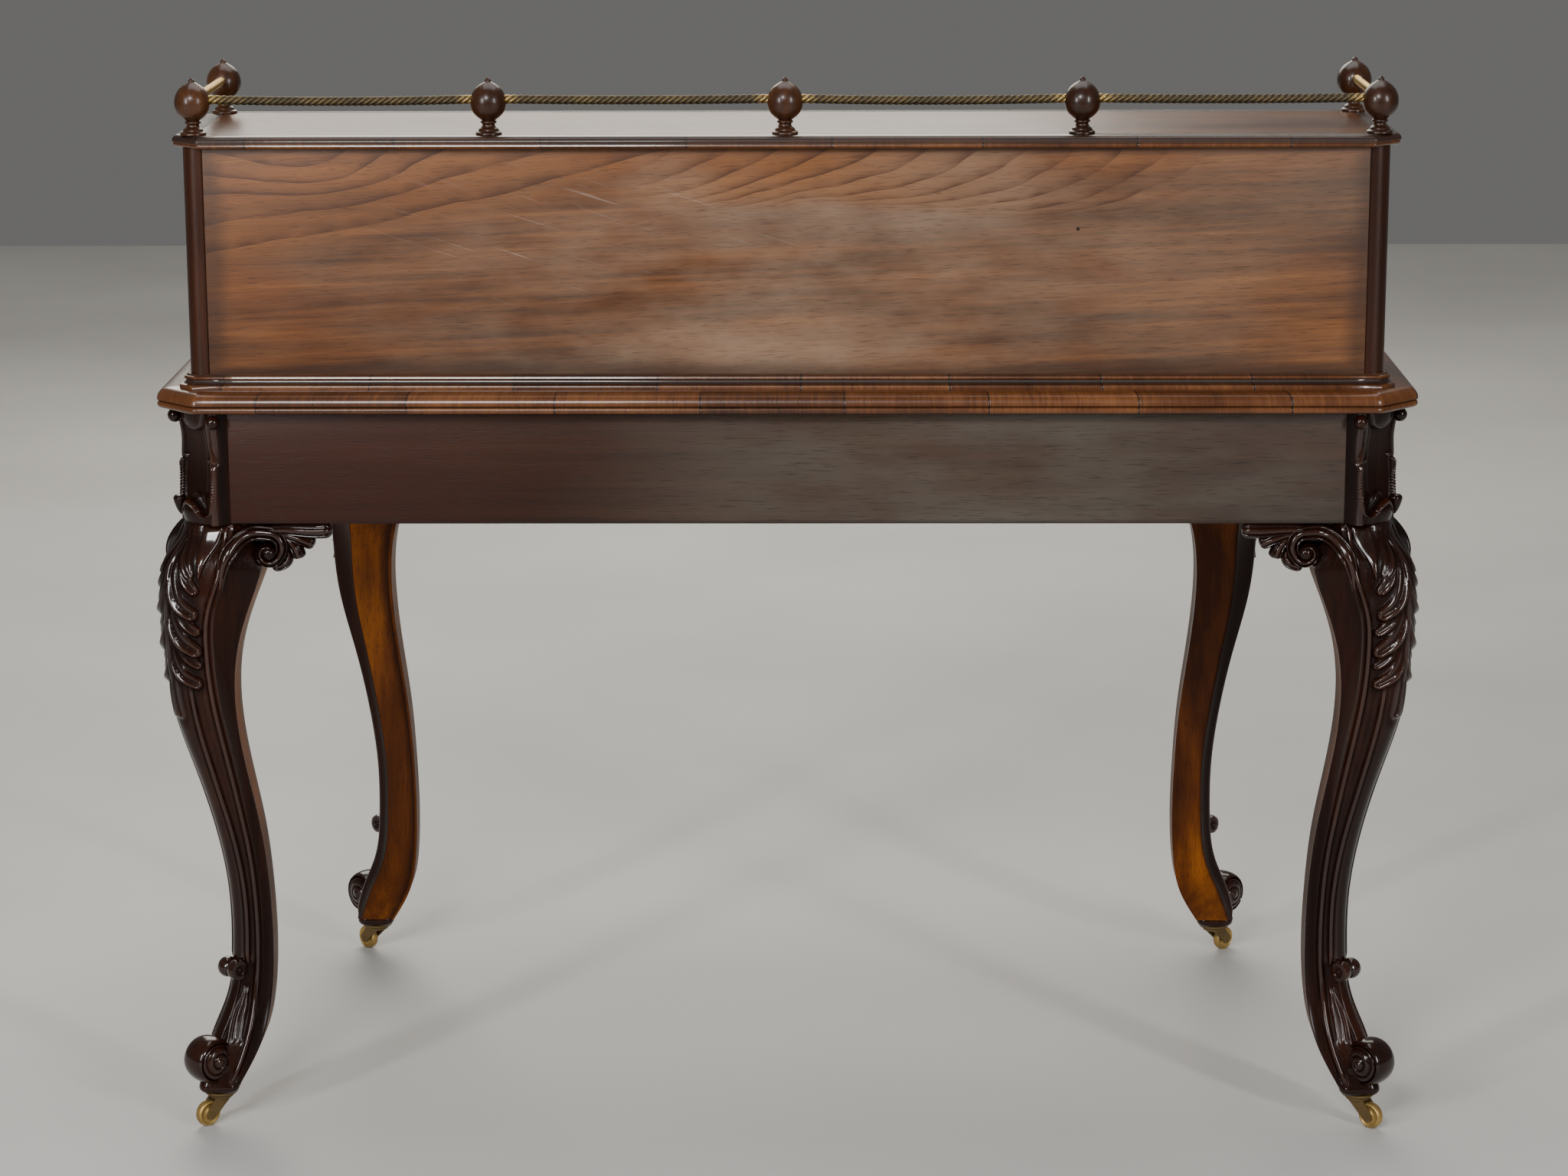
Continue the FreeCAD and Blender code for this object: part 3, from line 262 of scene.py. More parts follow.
def ball(radius, centre):
    """A ball about a point."""
    return turned(arc((0, 0), radius, -90, 90, 17), centre, 28)


def ring_sweep(rings, levels):
    """A closed moulding: one plan ring for each profile point, at that point's level."""
    points = np.array([at_level(ring, level) for ring, level in zip(rings, levels)])
    return grid(points.transpose(1, 0, 2), wrap_rows=True)


def bent_board(outer, inner, low, high, soft=0.8):
    """A board bent along a path: a chamfered rectangle between the outer and the inner line."""
    outer, inner = np.asarray(outer, float), np.asarray(inner, float)
    inwards = (inner - outer) / np.linalg.norm(inner - outer, axis=1, keepdims=True)
    edges = [(outer, 0, low + soft), (outer, 0, high - soft), (outer, soft, high), (inner, -soft, high),
             (inner, 0, high - soft), (inner, 0, low + soft), (inner, -soft, low), (outer, soft, low)]
    loops = np.array([at_level(line + inwards * shift, level) for line, shift, level in edges])
    return capped(loops.transpose(1, 0, 2))


def bead_bar(path, radius):
    """A thin round bar along a path: circles square to the path's direction, with poles at the ends."""
    path = np.asarray(path, float)
    ahead = headings(path)
    side = np.cross(ahead, ASIDE)
    side /= np.linalg.norm(side, axis=1, keepdims=True)
    over = np.cross(side, ahead)
    angle = np.linspace(0, math.tau, 8, endpoint=False)[None, :, None]
    ring = side[:, None] * np.cos(angle) + over[:, None] * np.sin(angle)
    return capped(path[:, None] + radius * ring)


def placed(name, data):
    """A new object in the scene."""
    made = bpy.data.objects.new(name, data)
    bpy.context.scene.collection.objects.link(made)
    return made


def piece(name, parts, finish, body="desk", nodes=(), sharp=32):
    """One object from its parts: welded, facing outwards, smooth but for edges sharper than an angle. It
    rides on a body, takes the finish's material and stands in for the nodes that are named."""
    starts = np.cumsum([0] + [len(part[0]) for part in parts])
    vertices = np.concatenate([part[0] for part in parts]) * MM
    faces = np.concatenate([part[1] + start for part, start in zip(parts, starts)])
    places = np.concatenate([part[2] for part in parts])
    relief = np.concatenate([part[3] for part in parts])
    mesh = bpy.data.meshes.new(name)
    mesh.vertices.add(len(vertices))
    mesh.vertices.foreach_set("co", vertices.astype(np.float32).ravel())
    mesh.loops.add(faces.size)
    mesh.loops.foreach_set("vertex_index", faces.astype(np.int32).ravel())
    mesh.polygons.add(len(faces))
    mesh.polygons.foreach_set("loop_start", np.arange(0, faces.size, 4, dtype=np.int32))
    mesh.update(calc_edges=True)
    mesh.uv_layers.new(name="along").data.foreach_set("uv", places.astype(np.float32).ravel())
    mesh.attributes.new("relief", "FLOAT", "POINT").data.foreach_set("value", relief.astype(np.float32))
    shell = bmesh.new()
    shell.from_mesh(mesh)
    bmesh.ops.remove_doubles(shell, verts=shell.verts, dist=WELD)
    bmesh.ops.dissolve_degenerate(shell, edges=shell.edges, dist=SLIVER)
    bmesh.ops.recalc_face_normals(shell, faces=shell.faces)
    shell.to_mesh(mesh)
    shell.free()
    mesh.shade_smooth()
    mesh.set_sharp_from_angle(angle=math.radians(sharp))
    mesh.materials.append(finish.material)
    made = placed(name, mesh)
    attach(made, body)
    if nodes:
        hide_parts(*nodes)


# Finishes

def reckoned(finish, operation, first, second):
    """The outcome of a Math node over two values."""
    return finish.node("ShaderNodeMath", {"operation": operation}, {0: first, 1: second})


def forward(operation):
    """A method that reckons with the flow itself as the first value."""
    return lambda flow, other=0: reckoned(flow.finish, operation, flow, other)


def backward(operation):
    """A method that reckons with the flow itself as the second value."""
    return lambda flow, other: reckoned(flow.finish, operation, other, flow)


class Flow:
    """A value, vector or colour on its way through a finish. Arithmetic on it adds Math nodes."""

    def __init__(self, finish, socket):
        self.finish = finish
        self.socket = socket

    __add__, __radd__ = forward("ADD"), backward("ADD")
    __sub__, __rsub__ = forward("SUBTRACT"), backward("SUBTRACT")
    __mul__, __rmul__ = forward("MULTIPLY"), backward("MULTIPLY")
    __truediv__, __pow__ = forward("DIVIDE"), forward("POWER")
    at_least, at_most = forward("MAXIMUM"), forward("MINIMUM")
    size, fraction, floor = forward("ABSOLUTE"), forward("FRACT"), forward("FLOOR")
    sine, root = forward("SINE"), forward("SQRT")
    power_of_e, log_to = forward("EXPONENT"), forward("LOGARITHM")

    def bell(self):
        """e to the power of minus the value squared."""
        return (self * self * -1.0).power_of_e()

    def log(self):
        """The logarithm to the base e."""
        return self.log_to(math.e)

    def mapped(self, scale=(1, 1, 1), turn=(0, 0, 0), shift=(0, 0, 0)):
        """The flow as a vector, scaled, then turned by degrees, then shifted."""
        angles = tuple(math.radians(angle) for angle in turn)
        return self.finish.node("ShaderNodeMapping", None,
                                {"Vector": self, "Location": shift, "Rotation": angles, "Scale": scale})

    def noise(self, stretch=None, shift=(0, 0, 0), *, detail, rough=0.5, twist=0.0):
        """Noise over the flow as a vector, which may be stretched and shifted first."""
        place = self.mapped(stretch, shift=shift) if stretch else self
        return self.finish.node("ShaderNodeTexNoise", None, {"Vector": place, "Scale": 1.0, "Detail": detail,
                                                             "Roughness": rough, "Distortion": twist})

    def axes(self):
        """The X, Y and Z of the flow as a vector."""
        split = self.finish.node("ShaderNodeSeparateXYZ", None, {0: self}).socket.node
        return tuple(Flow(self.finish, output) for output in split.outputs)

    def ramp(self, *stops):
        """Colours at places along the value."""
        return self.finish.node("ShaderNodeValToRGB", {"stops": stops}, {0: self})

    def between(self, low, high, to_low=0.0, to_high=1.0):
        """A smooth step of the value from one pair of limits to another."""
        return self.finish.node("ShaderNodeMapRange", {"interpolation_type": "SMOOTHSTEP"},
                                {0: self, 1: low, 2: high, 3: to_low, 4: to_high})


class Finish:
    """One material with the record's slot that it stands for."""

    def __init__(self, name, slot, **constants):
        self.slot = slot
        self.material = bpy.data.materials.new(name)
        self.material.use_nodes = True
        self.tree = self.material.node_tree
        self.shader = self.tree.nodes["Principled BSDF"]
        for socket, value in constants.items():
            self.shader.inputs[socket.replace("_", " ")].default_value = value

    def feed(self, socket, value):
        if isinstance(value, Flow):
            self.tree.links.new(value.socket, socket)
        else:
            socket.default_value = value

    def node(self, kind, settings=None, inputs=None, output=0):
        """Any node: its settings first, then the values or links of its sockets."""
        made = self.tree.nodes.new(kind)
        for name, value in (settings or {}).items():
            if name == "stops":
                self.set_stops(made.color_ramp, value)
            else:
                setattr(made, name, value)
        for name, value in (inputs or {}).items():
            self.feed(made.inputs[name], value)
        return Flow(self, made.outputs[output])

    def set_stops(self, ramp, stops):
        while len(ramp.elements) < len(stops):
            ramp.elements.new(1.0)
        for element, (place, colour) in zip(ramp.elements, stops):
            element.position = place
            element.color = (*colour, 1)

    def place(self):
        return self.node("ShaderNodeTexCoord", output="Object")

    def along(self):
        return self.node("ShaderNodeUVMap", {"uv_map": "along"})

    def relief(self):
        return self.node("ShaderNodeAttribute", {"attribute_name": "relief"}, output="Fac")

    def joined(self, x, y, z):
        return self.node("ShaderNodeCombineXYZ", None, {0: x, 1: y, 2: z})

    def mix(self, factor, first, second):
        first, second = [(*colour, 1) if isinstance(colour, tuple) else colour
                         for colour in (first, second)]
        return self.node("ShaderNodeMix", {"data_type": "RGBA"}, {0: factor, 6: first, 7: second}, output=2)

    def done(self, colour, roughness, height=None, depth=0.0003, **others):
        """Feed the shader, with a bump where a height is given."""
        self.feed(self.shader.inputs["Base Color"], colour)
        self.feed(self.shader.inputs["Roughness"], roughness)
        for socket, value in others.items():
            self.feed(self.shader.inputs[socket.replace("_", " ")], value)
        if height is not None:
            bump = self.node("ShaderNodeBump", None, {"Strength": 1.0, "Distance": depth, "Height": height})
            self.feed(self.shader.inputs["Normal"], bump)
        return self


LENGTHWAYS, UPRIGHT = (0, 0, 0), (0, 90, 0)  # turns of the grain
GRAIN_STOPS = (0.2, 0.5, 0.85)


def grain(vector, swing=0.35, rings=26.0):
    """Wood with its grain along the vector's X: wandering year rings, fine streaks and dark pores.
    Gives a tone from 0, dark, to 1, light, and the pores."""
    wander = vector.noise((1.3, 5, 5), detail=2)
    _, across, deep = vector.axes()
    phase = (across + 0.6 * deep) * rings + wander * (swing * rings)
    ring = phase.sine() * 0.5 + 0.5
    streak = vector.noise((4, 120, 120), detail=5, rough=0.6)
    cloud = vector.noise((2.5, 9, 9), detail=3)
    pores = vector.noise((45, 900, 900), detail=2).between(0.56, 0.7)
    return 0.22 * ring + 0.5 * streak + 0.42 * cloud - 0.07, pores


def carved_mahogany():
    """Dark polished mahogany: streaks down the piece, black polish in the hollows, red brown on worn
    crests. The plain inner faces, told by their relief, are lighter flame-figured wood with little
    polish."""
    finish = Finish("carved_mahogany", "carved_mahogany", Coat_Roughness=0.1, IOR=1.2)
    place = finish.place()
    relief = finish.relief()
    inner = relief.between(1.02, 1.1)
    plain = relief.between(1.2, 1.8)
    carved = relief.at_most(1.0) * (1.0 - 0.6 * inner)
    tone, pores = grain(place.mapped(turn=UPRIGHT), swing=0.6)
    tones = (0.0045, 0.0014, 0.0008), (0.012, 0.0033, 0.0016), (0.042, 0.0098, 0.0038)
    colour = tone.ramp(*zip(GRAIN_STOPS, tones))
    worn = carved.between(0.52, 0.95)
    hollow = carved.between(0.46, 0.16)
    colour = finish.mix(worn * 0.4, colour, (0.055, 0.014, 0.005))
    colour = finish.mix(hollow * 0.8, colour, (0.005, 0.0022, 0.0016))
    flame = place.noise((9, 9, 2.4), detail=5, rough=0.55, twist=0.9)
    flame = 0.75 * flame + 0.5 * tone - 0.12
    figure = flame.ramp((0.34, (0.028, 0.0066, 0.0012)), (0.5, (0.09, 0.023, 0.003)),
                        (0.66, (0.22, 0.064, 0.007)))
    colour = finish.mix(plain, colour, figure)
    colour = finish.mix(pores * 0.5, colour, (0.006, 0.0025, 0.0016))
    dust = place.noise((14, 14, 14), detail=5)
    roughness = 0.16 + 0.1 * dust + 0.22 * hollow + 0.2 * plain
    polish = carved.between(0.4, 0.66, 0.1, 0.9) * (1.0 - 0.8 * inner)
    return finish.done(colour, roughness, tone - 0.6 * pores, depth=0.0001, Coat_Weight=polish)


# Marks on the back panel: metres from its middle, and below its upper edge
HOLE_ACROSS, HOLE_BELOW = -0.279, 0.078
SCRATCHES_ACROSS, SCRATCHES_BELOW = 0.2, 0.08


def panel_walnut():
    """Back panel: grain along the width, with the year lines of two hearts at the top edge and golden
    wood between them. The first heart's lines rise in a slow slope from one end, over a small bowl. The
    second's leave the edge steeply and run off level, closer and closer, as a logarithm of the depth.
    A grey bloom lies in the old polish, painted shade darkens the edges where the panel meets the stiles, the
    base moulding and the top, a few pale scratches cross the first heart's foot, and a nail hole is left."""
    finish = Finish("panel_walnut", "case_walnut", Coat_Weight=0.05, Coat_Roughness=0.3, IOR=1.28)
    place = finish.place()
    x, _, z = place.axes()
    low, high = (corner * MM for corner in corners("upper_back_panel"))
    sway = place.noise((3.2, 1, 9), detail=3, rough=0.55)
    ripple = place.noise((26, 1, 40), detail=2)
    depth = high[2] - z + 0.042 * (sway - 0.5) + 0.004 * ripple
    bowl = ((x - 0.45) / 0.08).bell() * depth.between(0.075, 0.02)
    slope = depth - 0.21 * (x - 0.44) - 0.04 * bowl
    steep = -13.0 * x - (1.0 - (depth / 0.066).at_most(0.97)).log()
    slow = slope.between(0.11, 0.075) * x.between(0.02, 0.16)
    quick = x.between(0.18, 0.04) * x.between(-0.44, -0.3)
    quick = quick * depth.between(0.068, 0.05)
    lines = ((slope / 0.027).fraction() ** 3.0 * slow).at_least((steep * 1.7).fraction() ** 3.0 * quick)
    slant = place.mapped(turn=(0, -2.5, 0))
    streak = slant.noise((5, 60, 150), detail=6, rough=0.62)
    broad = slant.noise((3, 5, 30), detail=4, rough=0.6)
    cloud = place.noise((2.6, 3, 8), detail=4, rough=0.55)
    tone = 0.42 * streak + 0.36 * broad + 0.3 * cloud - 0.06
    colour = tone.ramp((0.37, (0.036, 0.012, 0.0048)), (0.5, (0.115, 0.042, 0.0145)),
                       (0.63, (0.215, 0.084, 0.027)))
    ember = place.noise((5, 2, 22), (4, 0, 2), detail=4)
    ember = (ember + 0.16 * x).between(0.5, 0.72)
    colour = finish.mix(ember * 0.3, colour, (0.15, 0.044, 0.013))
    bloom = place.noise((3, 3, 6), (0.3, 0, 0.1), detail=5, rough=0.6)
    bloom = (bloom - 0.1 * x).between(0.33, 0.74)
    grey = (((x - 0.02) / 0.32).bell() * 0.7 + 0.3) * bloom
    colour = finish.mix(grey * 0.75, colour, (0.27, 0.19, 0.132))
    golden = slow.at_least(quick) * sway.between(0.3, 0.6, 0.3, 1.0)
    colour = finish.mix(golden * 0.5, colour, (0.2, 0.075, 0.021))
    broken = (ripple + 0.5 * sway).between(0.55, 0.85, 0.4, 1.0)
    colour = finish.mix(lines * broken * 0.9, colour, (0.04, 0.0135, 0.007))
    fallen = place.mapped(turn=(0, 18, 0))
    scratches = fallen.noise((7, 1, 300), detail=3, rough=0.7)
    where = ((x - SCRATCHES_ACROSS) / 0.15).bell() * ((z - high[2] + SCRATCHES_BELOW) / 0.05).bell()
    scratches = scratches.between(0.62, 0.72) * where
    colour = finish.mix(scratches * 0.5, colour, (0.42, 0.34, 0.3))
    # Painted shade: darker bands along the panel's sides, foot and head, where it meets the stiles, the base
    # moulding and the top.
    side = (x.size() + 0.03 * (cloud - 0.5)).between(high[0] - 0.026, high[0] - 0.004)
    foot = (z + 0.012 * (broad - 0.5)).between(low[2] + 0.03, low[2] + 0.016)
    head = z.between(high[2] - 0.01, high[2] - 0.001)
    colour = finish.mix(side.at_least(foot).at_least(head) * 0.6, colour, (0.03, 0.0155, 0.0105))
    hole = ((x - HOLE_ACROSS) ** 2.0 + (z - high[2] + HOLE_BELOW) ** 2.0).root()
    colour = finish.mix(hole.between(0.0022, 0.0012), colour, (0.004, 0.003, 0.003))
    pores = slant.noise((60, 300, 900), detail=2).between(0.55, 0.7)
    colour = finish.mix(pores * 0.35, colour, (0.03, 0.012, 0.007))
    roughness = 0.36 + 0.2 * bloom + 0.1 * streak
    return finish.done(colour, roughness, streak - 0.8 * pores + 0.4 * scratches, depth=0.00008)


def plain_walnut(name, slot, turn, tones, gloss, coat, dent=0.00006):
    """Polished wood in three tones, with its grain turned along the board and clouds in the old polish."""
    finish = Finish(name, slot, Coat_Weight=coat, Coat_Roughness=0.1, IOR=1.36)
    place = finish.place()
    tone, pores = grain(place.mapped(turn=turn), swing=0.5)
    colour = tone.ramp(*zip(GRAIN_STOPS, tones))
    haze = place.noise((6, 6, 6), detail=5, rough=0.6)
    colour = finish.mix(pores * 0.45, colour, tuple(0.35 * part for part in tones[0]))
    return finish.done(colour, gloss + 0.2 * haze, tone - 0.7 * pores, depth=dent)


def frieze_veneer():
    """Frieze: dark veneer with its grain along the rail, redder towards one end, and a soft grey sheen
    painted over the rest as a reflection."""
    finish = Finish("frieze_veneer", "frieze_veneer", Coat_Weight=0.05, Coat_Roughness=0.2, IOR=1.26)
    place = finish.place()
    x, _, z = place.axes()
    tone, pores = grain(place, swing=0.5)
    tones = (0.01, 0.004, 0.0024), (0.027, 0.0115, 0.0066), (0.06, 0.026, 0.0135)
    colour = tone.ramp(*zip(GRAIN_STOPS, tones))
    cloud = place.noise((2.4, 2.4, 7), detail=5, rough=0.62)
    red = (x + 0.5 * cloud).between(0.35, 0.75)
    colour = finish.mix(red * 0.6, colour, (0.034, 0.0066, 0.0026))
    # Painted reflection: a clouded grey sheen over all of the rails but their red end, where the polish is
    # also made a little rougher.
    painted_sheen = cloud.between(0.36, 0.64, 0.3, 1.0) * (x + 0.3 * cloud).between(0.42, 0.1)
    colour = finish.mix(painted_sheen * 0.6, colour, (0.092, 0.088, 0.073))
    colour = finish.mix(pores * 0.4, colour, (0.008, 0.004, 0.003))
    foot = z.between((FRIEZE_UNDER + 5) * MM, FRIEZE_UNDER * MM)
    colour = finish.mix(foot * 0.6, colour, (0.012, 0.006, 0.0045))
    roughness = 0.34 + 0.16 * cloud + 0.12 * painted_sheen
    return finish.done(colour, roughness, tone - 0.7 * pores, depth=0.0001)


CROSSGRAIN_LENGTH = 0.142


def crossgrain():
    """Cross-cut moulding in short lengths: grain runs over the moulding, each length has its own
    tone, and a fine dark joint parts it from the next. Hollows hold dark polish."""
    finish = Finish("crossgrain_moulding", "crossgrain_moulding",
                    Coat_Weight=0.35, Coat_Roughness=0.07, IOR=1.38)
    way, over, _ = finish.along().axes()
    length = way / CROSSGRAIN_LENGTH + 0.2 * finish.joined(way * 1.7, 0.0, 0.0).noise(detail=0)
    number = length.floor()
    inside = length - number
    own = finish.node("ShaderNodeTexWhiteNoise", {"noise_dimensions": "1D"}, {"W": number}, output="Value")
    streak = finish.joined(way * 420, over * 25, number * 3.7).noise(detail=4, rough=0.6)
    cloud = finish.joined(way * 14, over * 30, number).noise(detail=3)
    tone = 0.46 * streak + 0.44 * cloud + 0.2 * own - 0.06
    colour = tone.ramp((0.25, (0.022, 0.0066, 0.0028)), (0.5, (0.085, 0.027, 0.0075)),
                       (0.8, (0.2, 0.073, 0.02)))
    joint = (inside - 0.5).size().between(0.4915, 0.497)
    colour = finish.mix(joint * 0.85, colour, (0.012, 0.006, 0.004))
    hollow = finish.relief().between(0.45, 0.1)
    colour = finish.mix(hollow * 0.85, colour, (0.009, 0.0045, 0.0035))
    roughness = 0.22 + 0.16 * cloud + 0.2 * hollow
    return finish.done(colour, roughness, streak - 2 * joint, depth=0.0001)


def tarnished_brass(name, slot, shine, tarnish, dirt, span=None):
    """Old brass: brown tarnish in the hollows and in patches, bright where it is handled. Where a span
    is given, the brass is brighter near each whole count of it along X."""
    finish = Finish(name, slot, IOR=1.5)
    place = finish.place()
    patch = place.noise((40, 40, 40), detail=5, rough=0.6)
    fine = place.noise((600, 600, 600), detail=3)
    hollow = finish.relief().between(0.7, 0.25)
    dull = patch.between(0.34, 0.6) * dirt
    if span:
        x, _, _ = place.axes()
        from_middle = ((x / span).fraction() - 0.5).size()
        dull = (0.9 + 0.1 * dull) * from_middle.between(0.38, 0.46, 1.0, 0.1)
    colour = finish.mix(dull, shine, tarnish)
    colour = finish.mix(hollow * 0.9, colour, tuple(0.22 * part for part in tarnish))
    roughness = 0.2 + 0.25 * dull + 0.3 * hollow + 0.08 * fine
    return finish.done(colour, roughness, fine, depth=0.00008, Metallic=0.95 - 0.5 * hollow)


def worn_leather():
    """Hide with a fine pebble, worn paler in the middle, and a border of two gilt lines with a row of
    stamps between them."""
    finish = Finish("tooled_hide", "writing_leather", IOR=1.45)
    place = finish.place()
    way, rim, _ = finish.along().axes()
    pebble = finish.node("ShaderNodeTexVoronoi", None, {"Vector": place, "Scale": 850.0})
    cloud = place.noise((5, 7, 5), detail=5, rough=0.6)
    colour = cloud.ramp((0.3, (0.055, 0.016, 0.011)), (0.7, (0.13, 0.042, 0.026)))
    wear = rim.between(0.06, 0.2) * cloud.between(0.42, 0.66)
    colour = finish.mix(wear * 0.4, colour, (0.21, 0.09, 0.055))
    stamp = ((way * 300).sine() * 0.5 + 0.5).between(0.25, 0.55)
    band = (rim - 0.019).size().between(0.0055, 0.0045) * stamp
    outer = (rim - 0.011).size().between(0.0011, 0.0006)
    inner = (rim - 0.027).size().between(0.0011, 0.0006)
    lines = outer.at_least(inner).at_least(band)
    rubbed = place.noise((55, 55, 55), detail=4).between(0.35, 0.55)
    gilt = lines * rubbed
    colour = finish.mix(gilt, colour, (0.62, 0.43, 0.16))
    roughness = 0.5 + 0.15 * cloud - 0.2 * gilt
    return finish.done(colour, roughness, pebble * 0.6 - 1.5 * lines, depth=0.00015, Metallic=gilt * 0.8)


def lining_wood():
    """Plain unpolished drawer lining, pale with darker pores."""
    finish = Finish("drawer_lining", "drawer_lining")
    tone, pores = grain(finish.place(), rings=40.0)
    tones = (0.16, 0.09, 0.045), (0.3, 0.185, 0.1), (0.4, 0.27, 0.15)
    colour = tone.ramp(*zip(GRAIN_STOPS, tones))
    colour = finish.mix(pores * 0.4, colour, (0.1, 0.06, 0.03))
    return finish.done(colour, 0.6 + 0.2 * tone, tone - pores, depth=0.00015)


def pale_floor():
    """Plain pale floor with a faint mottle."""
    finish = Finish("pale_floor", None)
    mottle = finish.place().noise((1.6, 1.6, 1.6), detail=5)
    colour = mottle.ramp((0.3, (0.44, 0.436, 0.42)), (0.7, (0.5, 0.496, 0.48)))
    return finish.done(colour, 0.5 + 0.1 * mottle)


CARVED = carved_mahogany()
PANEL = panel_walnut()
STILE = plain_walnut(
    "stile_walnut", "case_walnut", UPRIGHT,
    ((0.007, 0.0018, 0.0006), (0.028, 0.007, 0.002), (0.1, 0.027, 0.005)), gloss=0.22, coat=0.04)
TOP_WALNUT = plain_walnut(
    "top_walnut", "case_walnut", LENGTHWAYS,
    ((0.026, 0.0085, 0.0035), (0.08, 0.027, 0.01), (0.17, 0.066, 0.025)), gloss=0.22, coat=0.1, dent=0.00002)
INNER_WALNUT = plain_walnut(
    "inner_walnut", "case_walnut", LENGTHWAYS,
    ((0.036, 0.013, 0.007), (0.095, 0.035, 0.016), (0.18, 0.075, 0.036)), gloss=0.36, coat=0.2)
FRIEZE = frieze_veneer()
TURNED = plain_walnut(
    "turned_walnut", "turned_walnut", UPRIGHT,
    ((0.011, 0.0038, 0.0018), (0.033, 0.011, 0.0042), (0.1, 0.036, 0.01)), gloss=0.22, coat=0.18)
CROSSGRAIN = crossgrain()
GALLERY_BRASS = tarnished_brass("gallery_brass", "gallery_brass", (0.55, 0.35, 0.1), (0.075, 0.056, 0.03),
                                1.0, FINIAL_SPAN * MM)
CASTER_BRASS = tarnished_brass("caster_brass", "caster_brass", (0.75, 0.5, 0.15), (0.3, 0.18, 0.06), 0.6)
KNOB_BRASS = tarnished_brass("knob_brass", "knob_brass", (0.7, 0.5, 0.19), (0.28, 0.18, 0.07), 0.6)
LEATHER = worn_leather()
LINING = lining_wood()


# Table top

def fillet(before, corner, after, radius, count=7):
    """Points of an arc of a radius set into the corner of three points in a plane."""
    before, corner, after = (np.asarray(point, float) for point in (before, corner, after))
    back = (before - corner) / np.linalg.norm(before - corner)
    on = (after - corner) / np.linalg.norm(after - corner)
    half = math.acos(np.clip(back @ on, -1, 1)) / 2
    middle = (back + on) / np.linalg.norm(back + on)
    centre = corner + middle * radius / math.sin(half)
    first, last = corner + back * radius / math.tan(half), corner + on * radius / math.tan(half)
    share = np.linspace(0, 1, count)[:, None]
    chord = first * (1 - share) + last * share - centre
    return centre + radius * chord / np.linalg.norm(chord, axis=1, keepdims=True)


def bow_arcs(inset, start=0.0):
    """Left shoulder, bow and right shoulder of the D moved inwards, from an angle below the X axis."""
    radius, turn = SHOULDER_RADIUS - inset, 90 - math.degrees(BOW_ANGLE)
    return [arc((-SHOULDER_X, SHOULDER_Y), radius, 180 + start, 180 + turn, 40),
            arc((0, BOW_Y), BOW_RADIUS - inset, 180 + turn, 360 - turn, 32)[1:-1],
            arc((SHOULDER_X, SHOULDER_Y), radius, 360 - turn, 360 - start, 40)]


def table_ring(inset):
    """The D outline moved inwards: canted and rounded back corners, shoulder arcs and the bow."""
    half, back = HALF_WIDTH - inset, BACK - inset
    cant = CANT - inset * CANT_SHARE
    soft = max(CANT_ROUND - inset, 0.02)
    hip, cheek = np.array([half, back - cant]), np.array([half - cant, back])
    start = np.array([half, SHOULDER_Y])
    back_line = np.linspace(cheek - (LINE_SHY, 0), cheek * FLIP + (LINE_SHY, 0), 41)
    return np.concatenate([
        fillet(start, hip, cheek, soft), fillet(hip, cheek, cheek * FLIP, soft), back_line,
        fillet(cheek, cheek * FLIP, hip * FLIP, soft), fillet(cheek * FLIP, hip * FLIP, start * FLIP, soft),
        *bow_arcs(inset)])


THUMB_WIDE, THUMB_TALL = 12.0, 11.5
THUMB_BEND = (0.45, 1.62)  # radians from straight up at which the thumb starts and ends
BEAD_AT, BEAD_RADIUS = 3.6, 3.4
QUIRK_RISE = 7.4


def make_edge_moulding():
    """Thumb over a bead: the profile goes from the board's edge out over the top, round the
    thumb, in to a fine quirk, round the bead and back under to the board."""
    bead = arc((BEAD_AT, TABLE_UNDER + BEAD_AT), BEAD_RADIUS, 90, 270, 9)
    bead[:, 0] = BEAD_AT - dome(bead[:, 1] - TABLE_UNDER - BEAD_AT, BEAD_RADIUS + 0.02)
    bend = np.linspace(*THUMB_BEND, 9)
    thumb = np.stack([THUMB_WIDE - THUMB_WIDE * np.sin(bend),
                      TABLE_TOP - THUMB_TALL + THUMB_TALL * np.cos(bend)], -1)
    quirk = TABLE_UNDER + QUIRK_RISE
    profile = np.concatenate([
        [(EDGE_BAND, TABLE_TOP), (THUMB_WIDE + 2, TABLE_TOP)], thumb,
        [(BEAD_AT - 1, quirk + 0.2), (BEAD_AT - 0.2, quirk - 0.2)], bead,
        [(8, TABLE_UNDER), (EDGE_BAND, TABLE_UNDER), (EDGE_BAND, (TABLE_UNDER + TABLE_TOP) / 2)]])
    hollow = bell(profile[:, 1] - quirk, 0.8) * (profile[:, 0] < BEAD_AT + 2.4)
    part = ring_sweep([table_ring(inset) for inset in profile[:, 0]], profile[:, 1])
    relief = np.tile(0.5 - 0.4 * hollow, len(table_ring(0)))
    piece("top_edge", [(*part[:3], relief)], CROSSGRAIN, nodes=["top_edge_moulding"], sharp=50)


def leather_ring(inset):
    """The writing surface's outline moved inwards, with the same count of points at any inset."""
    margin = HALF_WIDTH - LEATHER_HIGH[0] + inset
    back = LEATHER_HIGH[1] - inset
    radius = SHOULDER_RADIUS - margin
    start = math.degrees(math.asin(max(SHOULDER_Y - back, 0) / radius))
    side = SHOULDER_X + radius * math.cos(math.radians(start))
    return np.concatenate([np.linspace((side, back), (-side, back), 61), *bow_arcs(margin, start)])


